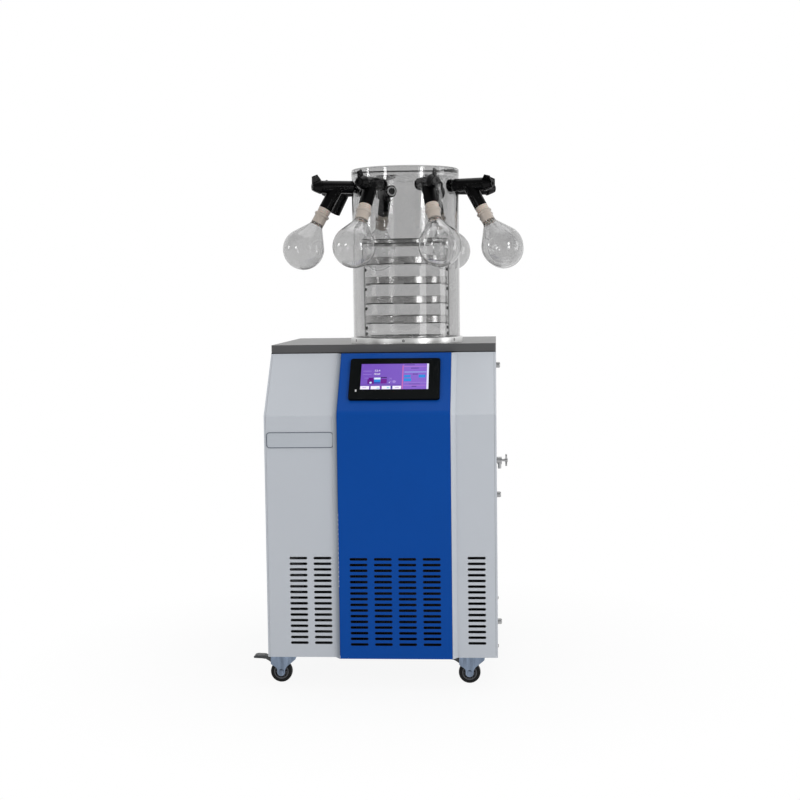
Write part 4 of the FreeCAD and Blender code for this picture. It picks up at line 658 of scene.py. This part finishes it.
def piece(name, bm, materials, body="cabinet"):
    """A finished bmesh as an object with its place in its mesh, riding on a body."""
    for edge in bm.edges:
        edge.smooth = edge.calc_face_angle(0) < SOFT_EDGE
    for face in bm.faces:
        face.smooth = True
    mesh = bpy.data.meshes.new(name)
    bm.to_mesh(mesh)
    bm.free()
    for material in materials if isinstance(materials, list) else [materials]:
        mesh.materials.append(material)
    made = bpy.data.objects.new(name, mesh)
    bpy.context.scene.collection.objects.link(made)
    keep_flats(made)
    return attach(made, body)


def at(x, y, z, *turns):
    """A place in millimetres in the row frame, after turns given as (degrees, axis)."""
    matrix = Matrix.Translation((x * MM, y * MM, z * MM))
    for degrees, axis in turns:
        matrix = matrix @ Matrix.Rotation(math.radians(degrees), 4, axis)
    return matrix


def hex_bolt(across, height, washer):
    """Hexagon head with a chamfered crown, on a washer."""
    head = bmesh.new()
    bmesh.ops.create_cone(head, cap_ends=True, segments=6, radius1=across / math.sqrt(3),
                          radius2=across / math.sqrt(3), depth=height)
    bmesh.ops.translate(head, vec=(0, 0, height / 2 + washer), verts=head.verts)
    crown = [e for e in head.edges if min(v.co.z for v in e.verts) > height / 2 + washer]
    rounded(head, crown, height * 0.18)
    ring = lathe([(across * 0.3, 0), (across * 0.72, 0), (across * 0.72, washer), (across * 0.3, washer)],
                 24, closed=True)
    return gathered([head, ring])


def socket_screw(radius, height, key):
    """Button head with a hexagon recess."""
    bm = lathe([(radius, 0), (radius * 0.97, height * 0.35), (radius * 0.82, height * 0.8),
                (radius * 0.6, height)], 24)
    rim = [e for e in bm.edges if all(abs(v.co.z - height) < TOUCHING for v in e.verts)]
    bmesh.ops.create_circle(bm, cap_ends=False, radius=key, segments=6,
                            matrix=Matrix.Translation((0, 0, height)))
    key_edges = [e for e in bm.edges if all(abs(v.co.z - height) < TOUCHING for v in e.verts)
                 and all(v.co.xy.length < key * 1.01 for v in e.verts)]
    bmesh.ops.bridge_loops(bm, edges=rim + key_edges)
    well = bmesh.ops.extrude_edge_only(bm, edges=key_edges)["geom"]
    deep = verts_in(well)
    bmesh.ops.translate(bm, vec=(0, 0, -height * 0.7), verts=deep)
    bmesh.ops.contextual_create(bm, geom=[g for g in well if isinstance(g, bmesh.types.BMEdge)
                                          and all(v in deep for v in g.verts)])
    bmesh.ops.recalc_face_normals(bm, faces=bm.faces)
    return bm


# ---- Operator screen

def screen_frame():
    """Matrix whose XY plane is the screen glass's outer face, centred on it, with its width and height."""
    glass = NODES["screen_glass"].data
    face = max(glass.polygons, key=lambda p: (-p.normal.y > 0.3) * p.area)
    out = face.normal.normalized()
    side = Vector((1, 0, 0))
    up = out.cross(side)
    spots = [(v.co.dot(side), v.co.dot(up), v.co.dot(out)) for v in glass.vertices]
    spans = [(min(s[i] for s in spots), max(s[i] for s in spots)) for i in range(3)]
    centre = side * sum(spans[0]) / 2 + up * sum(spans[1]) / 2 + out * spans[2][1]
    matrix = Matrix((side, up, out)).transposed().to_4x4()
    matrix.translation = centre
    return matrix, spans[0][1] - spans[0][0], spans[1][1] - spans[1][0]


# Blocks of the picture: left, top, right and bottom as parts of its width and height, and a colour.
LILAC, PALE, CYAN = (0.36, 0.24, 0.68), (0.92, 0.90, 1.0), (0.015, 0.25, 0.72)
PICTURE_BLOCKS = [
    (0.0, 0.0, 1.0, 1.0, (0.19, 0.085, 0.53)),
    (0.615, 0.0, 0.972, 1.0, (0.24, 0.115, 0.60)),
    (0.61, 0.07, 0.624, 0.98, (0.62, 0.14, 0.42)),
    (0.972, 0.0, 1.0, 1.0, (0.80, 0.78, 1.0)),
    (0.64, 0.03, 0.79, 0.06, (0.10, 0.045, 0.30)),
    (0.635, 0.10, 0.965, 0.115, (0.55, 0.22, 0.66)),
    (0.735, 0.165, 0.85, 0.19, (0.06, 0.02, 0.22)),
    (0.64, 0.315, 0.965, 0.345, (0.30, 0.42, 0.85)),
    (0.765, 0.40, 0.84, 0.425, (0.05, 0.02, 0.20)),
    (0.637, 0.445, 0.735, 0.54, CYAN),
    (0.852, 0.435, 0.95, 0.55, CYAN),
    (0.637, 0.575, 0.745, 0.69, CYAN),
    (0.637, 0.725, 0.965, 0.74, LILAC),
    (0.71, 0.785, 0.875, 0.805, (0.12, 0.05, 0.32)),
    (0.635, 0.84, 0.965, 0.855, (0.50, 0.20, 0.62)),
    (0.755, 0.875, 0.825, 0.90, (0.05, 0.02, 0.20)),
    (0.03, 0.275, 0.155, 0.29, LILAC),
    (0.03, 0.405, 0.155, 0.42, LILAC),
    (0.055, 0.545, 0.11, 0.56, LILAC),
    (0.0, 0.82, 0.60, 0.835, (0.08, 0.03, 0.24)),
    (0.10, 0.60, 0.198, 0.78, (0.12, 0.0, 0.24)),
    (0.12, 0.54, 0.185, 0.62, (0.12, 0.0, 0.24)),
    (0.198, 0.54, 0.292, 0.61, (0.75, 0.86, 1.0)),
    (0.198, 0.61, 0.292, 0.70, (0.015, 0.27, 0.76)),
    (0.198, 0.70, 0.292, 0.775, (0.03, 0.06, 0.45)),
    (0.296, 0.52, 0.386, 0.56, (0.03, 0.0, 0.12)),
    (0.296, 0.59, 0.386, 0.77, (0.15, 0.0, 0.27)),
    (0.0, 0.865, 0.132, 0.99, PALE),
    (0.155, 0.865, 0.288, 0.99, PALE),
    (0.318, 0.865, 0.445, 0.99, PALE),
    (0.475, 0.865, 0.60, 0.99, PALE),
    (0.135, 0.875, 0.152, 0.96, (0.10, 0.0, 0.22)),
    (0.293, 0.875, 0.312, 0.96, (0.30, 0.02, 0.34)),
    (0.45, 0.875, 0.47, 0.96, (0.03, 0.03, 0.25)),
    (0.24, 0.93, 0.28, 0.97, (0.10, 0.50, 0.65)),
    (0.39, 0.90, 0.43, 0.96, (0.20, 0.62, 0.80)),
    (0.03, 0.91, 0.09, 0.94, (0.50, 0.34, 0.72)),
    (0.51, 0.91, 0.57, 0.94, (0.50, 0.34, 0.72)),
]


def coloured(bm, colour):
    """The same bmesh with one colour on every corner, for the lit screen."""
    layer = bm.loops.layers.float_color.new("picture")
    for face in bm.faces:
        for loop in face.loops:
            loop[layer] = (*colour, 1)
    return bm


def build_screen():
    """The lit picture on the glass: blocks, rules, readings, a process diagram and a row of touch keys."""
    matrix, width, height = screen_frame()
    layers = []

    def lay(bm, u, v, colour, level):
        """A coloured flat on the glass, its middle at parts of the width and height."""
        place = Matrix.Translation(((u - 0.5) * width, (0.5 - v) * height, (0.04 + 0.02 * level) * MM))
        layers.append(coloured(moved(bm, place), colour))

    for level, (left, top, right, bottom, colour) in enumerate(PICTURE_BLOCKS):
        flat = tile((right - left) * width, (bottom - top) * height)
        lay(flat, (left + right) / 2, (top + bottom) / 2, colour, min(level, 6) * 0.8)
    for u, v, radius, colour in ((0.148, 0.735, 0.018, (0.62, 0.70, 1.0)), (0.495, 0.70, 0.026, LILAC),
                                 (0.425, 0.73, 0.008, (0.75, 0.90, 1.0))):
        disc = bmesh.new()
        bmesh.ops.create_circle(disc, cap_ends=True, radius=radius * width, segments=24)
        lay(disc, u, v, colour, 6)
    for lean in (-38, 38):
        for v in (0.58, 0.70):
            bar = tile(0.045 * width, 0.006 * width)
            bmesh.ops.rotate(bar, cent=(0, 0, 0), matrix=Matrix.Rotation(math.radians(lean), 3, "Z"),
                             verts=bar.verts)
            lay(bar, 0.44, v, LILAC, 6)
    for number, v in (("-52.4", 0.27), ("18.60", 0.40)):
        writing = bpy.data.curves.new("reading", "FONT")
        writing.body = number
        writing.size = 0.092 * height
        writing.align_x, writing.align_y = "CENTER", "CENTER"
        holder = bpy.data.objects.new("reading", writing)
        mesh = bpy.data.meshes.new_from_object(holder)
        digits = bmesh.new()
        digits.from_mesh(mesh)
        bpy.data.objects.remove(holder)
        bpy.data.meshes.remove(mesh)
        lay(digits, 0.235, v, (1.0, 1.0, 1.0), 6)
    piece("screen_picture", moved(gathered(layers), matrix), PICTURE)

    indicator = slab(3.4 * MM, 6.5 * MM, 0.5 * MM, 1.2 * MM)
    low = Matrix.Translation((-0.5 * width - 9.5 * MM, -0.5 * height - 3.5 * MM, 0.8 * MM))
    piece("ready_light", moved(indicator, matrix @ low), MARK)


# ---- Nameplate, bare

def build_nameplate():
    """Thin silver plate with a darker raised rim and nothing on it, on the left front panel."""
    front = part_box("front_panel_centre")[0].y + 15 * MM
    stand = Matrix.Translation((-193.0 * MM, front, 566.8 * MM)) @ Matrix.Rotation(math.pi / 2, 4, "X")
    plate = slab(150.8 * MM, 35.4 * MM, 0.9 * MM, 7.0 * MM)
    face = max((f for f in plate.faces if f.normal.z > 0.9), key=lambda f: f.calc_area())
    rim = bmesh.ops.inset_region(plate, faces=[face], thickness=1.6 * MM)["faces"]
    raised = bmesh.ops.extrude_face_region(plate, geom=rim)["geom"]
    bmesh.ops.translate(plate, vec=(0, 0, 0.6 * MM), verts=verts_in(raised))
    bmesh.ops.delete(plate, geom=[f for f in rim if f.is_valid], context="FACES_ONLY")
    for one in plate.faces:
        one.material_index = 1 if one.calc_center_median().z > 1.0 * MM or one.normal.z < 0.5 else 0
    bmesh.ops.recalc_face_normals(plate, faces=plate.faces)
    piece("nameplate", moved(plate, stand), [SILVER, RIM])


# ---- Casters

def build_wheel(name, x, y, z):
    """Tyre on a ribbed hub."""
    tyre = turned([
        (17.0, -8.2), (17.6, -8.9), (21.5, -9.0), (23.9, -7.9), (24.8, -5.2), (25.0, 0), (24.8, 5.2),
        (23.9, 7.9), (21.5, 9.0), (17.6, 8.9), (17.0, 8.2)], 64)
    hub = turned([
        (3.2, -8.9), (5.6, -8.9), (6.2, -8.0), (6.4, -2.2), (13.8, -2.2), (14.4, -8.2), (17.0, -8.2),
        (17.0, 8.2), (14.4, 8.2), (13.8, 2.2), (6.4, 2.2), (6.2, 8.0), (5.6, 8.9), (3.2, 8.9)], 48)
    ribs = []
    for index in range(6):
        rib = block(8.4 * MM, 1.6 * MM, 13 * MM)
        bmesh.ops.translate(rib, vec=(10.2 * MM, 0, 0), verts=rib.verts)
        bmesh.ops.rotate(rib, cent=(0, 0, 0), matrix=Matrix.Rotation(TURN * index / 6, 3, "Z"),
                         verts=rib.verts)
        ribs.append(rib)
    core = gathered([hub] + ribs)
    for face in core.faces:
        face.material_index = 1
    wheel = moved(gathered([tyre, core]), at(x, y, z, (90, "X")))
    made = piece("wheel_" + name, wheel, [RUBBER, HUB], "wheel_" + name)
    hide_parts("caster_wheel_" + name)


def build_pedal(name, x, y, z):
    """Deep moulded foot lever, ribbed on top and rounded at the tip, on the brake's barrel."""
    side = [(-1.0, 4.2), (-9.0, 10.0), (-20.0, 13.6), (-38.0, 14.4), (-43.6, 13.0), (-45.8, 10.6),
            (-44.6, 8.0), (-38.0, 7.6), (-28.0, 7.4), (-18.0, 5.0), (-11.0, 0.8), (-5.0, -3.6), (0.0, -4.3),
            (3.2, -2.8), (4.3, 0.0), (3.2, 2.8)]
    half_root, half_tip = 8.6, 12.3
    bm = bmesh.new()
    loop = [bm.verts.new((px * MM, -half_root * MM, pz * MM)) for px, pz in side]
    wall = bm.faces.new(loop)
    grown = bmesh.ops.extrude_face_region(bm, geom=[wall])["geom"]
    bmesh.ops.translate(bm, vec=(0, 2 * half_root * MM, 0), verts=verts_in(grown))
    for vert in bm.verts:
        if vert.co.x < -18 * MM:
            vert.co.y *= half_tip / half_root
    bmesh.ops.recalc_face_normals(bm, faces=bm.faces)
    rims = [e for e in bm.edges if abs(e.verts[0].co.y - e.verts[1].co.y) < 4 * MM
            and len(e.link_faces) == 2 and e.calc_face_angle(0) > 1.2]
    rounded(bm, rims, 1.0 * MM)
    ribs = []
    for index in range(6):
        rib = slab(1.4 * MM, 17 * MM, 1.0 * MM, 0.6 * MM, 3)
        ribs.append(moved(rib, Matrix.Translation(((-40.0 + 4.0 * index) * MM, 0, 13.4 * MM))))
    lever = moved(gathered([bm] + ribs), at(x, y, z))
    made = piece("pedal_" + name, lever, PEDAL, "brake_" + name)
    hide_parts("brake_pedal_" + name)


def build_casters():
    """Tyres, hubs, brake levers, axle nuts and the bolts that hold the plates."""
    bolts = []
    for name, x, y in SWIVELS:
        build_wheel(name, x - TRAIL, y, AXLE_HEIGHT)
        nuts = []
        for side in (-1, 1):
            nut = hex_bolt(9 * MM, 3.2 * MM, 0.6 * MM)
            nuts.append(moved(nut, at(x - TRAIL, y + NUT_OUT * side, AXLE_HEIGHT, (-90 * side, "X"))))
        piece("axle_nuts_" + name, gathered(nuts), ZINC, "fork_" + name)
        if name.startswith("front"):
            build_pedal(name, x - PIVOT_TRAIL, y, PIVOT_HEIGHT)
        for bolt_x in (-BOLT_OUT, BOLT_OUT):
            for bolt_y in (-BOLT_OUT, BOLT_OUT):
                bolt = hex_bolt(9 * MM, 3.4 * MM, 0.8 * MM)
                bolts.append(moved(bolt, at(x + bolt_x, y + bolt_y, BOLT_HEIGHT, (180, "X"))))
    piece("plate_bolts", gathered(bolts), ZINC)


# ---- Fasteners and small fittings

def build_fasteners():
    """Screws round the back panel and along the feet of the sides."""
    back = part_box("rear_panel")[1].y / MM
    left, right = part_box("side_panel_left")[0].x / MM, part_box("side_panel_right")[1].x / MM
    low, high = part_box("rear_panel")[0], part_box("rear_panel")[1]
    side_inset, foot_inset, top_inset, sill = 14, 12, 14, 88
    screws = []

    def screw(*place):
        """One more case screw."""
        screws.append(moved(socket_screw(4.2 * MM, 2.2 * MM, 1.5 * MM), at(*place)))

    for x in (low.x / MM + side_inset, (low.x + high.x) / 2 / MM, high.x / MM - side_inset):
        for z in (low.z / MM + foot_inset, high.z / MM - top_inset):
            screw(x, back, z, (-90, "X"))
    for x in (low.x / MM + side_inset, high.x / MM - side_inset):
        for z in (260, 450):
            screw(x, back, z, (-90, "X"))
    for x, turn, places in ((left, -90, (-270, -20, 240)), (right, 90, (-270, 240))):
        for y in places:
            screw(x, y, sill, (turn, "Y"))
    piece("case_screws", gathered(screws), NICKEL)


def build_chamber_fittings():
    """Set screws round the base ring, screws up the rack's two posts, two black bands round its cap as a
    painted dark reflection on its rim, washers round the valves' stems, and the sleeves between each
    branch's mouth and its flask."""
    screw_height, post_reach, stem_reach = 781.5, 100.1, 112.7
    ring_low, ring_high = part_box("base_ring")
    centre, reach = (ring_low + ring_high) / 2 / MM, (ring_high.x - ring_low.x) / 2 / MM
    set_screws = []
    for index in range(6):
        turn = 60 * index - 90
        stand = at(centre.x, centre.y, screw_height, (turn, "Z")) @ at(reach - 0.2, 0, 0, (90, "Y"))
        set_screws.append(moved(socket_screw(3.0 * MM, 0.5 * MM, 1.5 * MM), stand))
    piece("ring_screws", gathered(set_screws), OXIDE)

    rack_low, rack_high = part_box("rack_frame")
    middle = (rack_low + rack_high) / 2 / MM
    buttons = []
    for level in [20.0] + [FIRST_TRAY + TRAY_PITCH * index - 11.5 for index in range(TRAYS)]:
        for turn in (0, 180):
            button = turned([(0.8, 0), (3.6, 0), (3.9, 1.0), (3.9, 3.4), (3.0, 4.8), (0.8, 5.2)], 24)
            post = at(middle.x, middle.y, PLATE_TOP + level, (turn, "Z"))
            buttons.append(moved(button, post @ at(post_reach, 0, 0, (-90, "Y"))))
    piece("post_buttons", gathered(buttons), OXIDE)
    # Two black bands on the cap's rim: painted dark reflection.
    dark_bands = []
    for low, high in ((1007.0, 1009.4), (1016.8, 1018.8)):
        dark_band = turned([(102.4, low), (103.3, low), (103.3, high), (102.4, high)], 72)
        dark_bands.append(moved(dark_band, at(middle.x, middle.y, 0)))
    piece("cap_dark_bands", gathered(dark_bands), OXIDE)
    washers = []
    ports = [at(middle.x, middle.y, BRANCH_HEIGHT, (PORT_PITCH * port + FIRST_PORT, "Z"))
             for port in range(PORTS)]
    for port in ports:
        washer = turned([(8.3, 0), (11.4, 0), (11.0, 1.2), (8.3, 1.2)], 32)
        washers.append(moved(washer, port @ at(stem_reach, 0, 0, (-90, "Y"))))
    piece("stem_washers", gathered(washers), MARK)

    sleeves = []
    for port in ports[:FREE_PORT] + ports[FREE_PORT + 1:]:
        sleeve = turned([(12.6, 60.4), (14.9, 60.4), (15.2, 61.2), (15.0, 66.0), (14.7, 66.6), (14.9, 67.2),
                         (14.4, 72.6), (13.8, 73.6), (12.6, 73.6)], 40)
        sleeves.append(moved(sleeve, port @ at(BRANCH_REACH, 0, 0, (180 - BRANCH_LEAN, "Y"))))
    piece("adapter_sleeves", gathered(sleeves), SILICONE)


def build_trays():
    """Deep-drawn trays: rolled rim, straight wall, stacking foot in black as painted shade under the tray,
    and a small folded pull tab.
    """
    rack_low, rack_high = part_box("rack_frame")
    middle = (rack_low + rack_high) / 2 / MM
    for index in range(TRAYS):
        dish = turned([
            (0.5, 1.2), (92.0, 1.2), (95.6, 2.4), (96.8, 4.2), (96.9, 16.6), (96.9, 17.4), (97.4, 18.0),
            (97.8, 17.6), (98.0, 17.0), (98.0, 16.4), (98.0, 3.0), (98.0, 2.4), (97.2, 2.2), (96.9, 1.4),
            (96.6, 0.0), (92.0, 0.0), (0.5, 0.0)], 96)
        # Black on the foot's faces: painted shade of the line under each tray.
        for face in dish.faces:
            spot = face.calc_center_median()
            face.material_index = 1 if spot.z < 2.35 * MM and spot.xy.length > 95.8 * MM else 0
        tab = slab(25 * MM, 6 * MM, 3.0 * MM, 1.4 * MM, 4)
        for face in tab.faces:
            face.material_index = 2
        pull = moved(tab, at(0, 0, 0, (-97, "Z")) @ at(97.9, 0, 3.4, (90, "Z"), (90, "X")))
        stand = at(middle.x, middle.y, PLATE_TOP + FIRST_TRAY + TRAY_PITCH * index)
        made = piece("tray_dish_%d" % (index + 1), moved(gathered([dish, pull]), stand),
                     [POLISHED, OXIDE, TAB])
        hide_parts("tray_%d" % (index + 1))


def build_plate_shadow_strip():
    """Black strip in the gap between the panels and the top plate, as painted shadow of that gap."""
    plate_low, plate_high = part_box("top_plate")
    low, high = plate_low / MM, plate_high / MM
    inset, tall = 0.02, 4.2
    width, depth = high.x - low.x - 2 * inset, high.y - low.y - 2 * inset
    # A black solid standing in for the shadow in the gap: painted shadow.
    dark_strip = block(width * MM, depth * MM, tall * MM)
    moved(dark_strip, at((low.x + high.x) / 2, (low.y + high.y) / 2, low.z - tall / 2))
    piece("plate_shadow_strip", dark_strip, RUBBER)


build_camera()
carry_all()
build_screen()
build_nameplate()
build_casters()
build_fasteners()
build_chamber_fittings()
build_trays()
build_plate_shadow_strip()


# ---- Studio

def build_floor():
    """Pale floor, white where nothing stands near, that keeps a soft shadow under the machine."""
    mesh = bpy.data.meshes.new("floor")
    bm = bmesh.new()
    bmesh.ops.create_grid(bm, x_segments=1, y_segments=1, size=30.0)
    bm.to_mesh(mesh)
    bm.free()
    floor = bpy.data.objects.new("floor", mesh)
    bpy.context.scene.collection.objects.link(floor)
    material, w, shader = new_material("floor")
    shader.inputs["Base Color"].default_value = (0.75, 0.75, 0.75, 1)
    shader.inputs["Roughness"].default_value = 0.9
    shader.inputs["Specular IOR Level"].default_value = 0.0
    glow = w.node("Emission", {"Color": (1, 1, 1, 1), "Strength": 1.0})
    path = w.node("LightPath")
    seen = w.math("MAXIMUM", path.outputs["Is Camera Ray"],
                  w.math("MAXIMUM", path.outputs["Is Glossy Ray"], path.outputs["Is Transmission Ray"]))
    away = w.around(w.place(), (0, 0, 0))[0]
    whole = w.spread(away, 0.92, 1.0, 0.4, 0.95)
    show_mixed(w, w.math("MULTIPLY", seen, whole), shader, glow)
    mesh.materials.append(material)


def build_world():
    """White behind the object for what the camera sees, also through clear walls. Metal and gloss mirror a
    room, white at the back and grey at the front. A glow that grows from left to right lights the rest."""
    world = bpy.data.worlds.new("studio")
    bpy.context.scene.world = world
    world.use_nodes = True
    w = Wiring(world.node_tree)
    path = w.node("LightPath")
    towards = w.node("SeparateXYZ", {"Vector": w.node("TexCoord").outputs["Generated"]})
    towards_right, towards_back = towards.outputs["X"], towards.outputs["Y"]
    room = w.spread(towards_back, 0.28, 1.0, -0.05, 0.55)
    glow = w.spread(towards_right, 0.42, 0.82, -1.0, 1.0)
    mirrored = w.math("GREATER_THAN", path.outputs["Glossy Depth"], 0.5)
    through = w.math("MULTIPLY", path.outputs["Is Transmission Ray"], w.math("SUBTRACT", 1.0, mirrored))
    white = w.math("MAXIMUM", path.outputs["Is Camera Ray"], through)
    glossy = w.math("MAXIMUM", path.outputs["Is Glossy Ray"],
                    w.math("MULTIPLY", path.outputs["Is Transmission Ray"], mirrored))
    plain = w.math("ADD", glow, w.math("MULTIPLY", glossy, w.math("SUBTRACT", room, glow)))
    level = w.math("ADD", plain, w.math("MULTIPLY", white, w.math("SUBTRACT", 1.0, plain)))
    back = world.node_tree.nodes["Background"]
    back.inputs["Color"].default_value = (1, 1, 1, 1)
    w.feed(back.inputs["Strength"], level)


def soft_lamp(name, place, target, width, height, power):
    """A rectangular softbox that faces a target."""
    lamp = bpy.data.objects.new(name, bpy.data.lights.new(name, "AREA"))
    lamp.data.shape = "RECTANGLE"
    lamp.data.size = width
    lamp.data.size_y = height
    lamp.data.energy = power
    lamp.location = place
    lamp.rotation_euler = (Vector(target) - Vector(place)).to_track_quat("-Z", "Y").to_euler()
    bpy.context.scene.collection.objects.link(lamp)


def around_at(degrees, distance, height):
    """A lamp's place, measured to the right of straight ahead of the machine."""
    turn = math.radians(degrees)
    return (distance * math.sin(turn), -distance * math.cos(turn), height)


def build_studio():
    """Floor, world and lamps."""
    build_floor()
    build_world()
    middle = Vector((0, 0, 1.0))
    soft_lamp("key right", around_at(38, 3.0, 1.15), middle, 0.75, 1.7, 12)
    soft_lamp("side right", around_at(86, 3.0, 1.15), middle, 0.75, 1.7, 12)
    soft_lamp("spot right", around_at(38, 2.9, 1.5), middle, 0.3, 0.5, 7)
    soft_lamp("spot left", around_at(-37, 3.0, 1.4), middle, 0.35, 0.55, 8)
    soft_lamp("side left", around_at(-80, 3.0, 1.4), middle, 0.3, 0.6, 6)
    soft_lamp("top", (0.2, 0.2, 3.0), middle, 2.0, 2.0, 16)
    bpy.context.scene.view_settings.view_transform = "Standard"


build_studio()
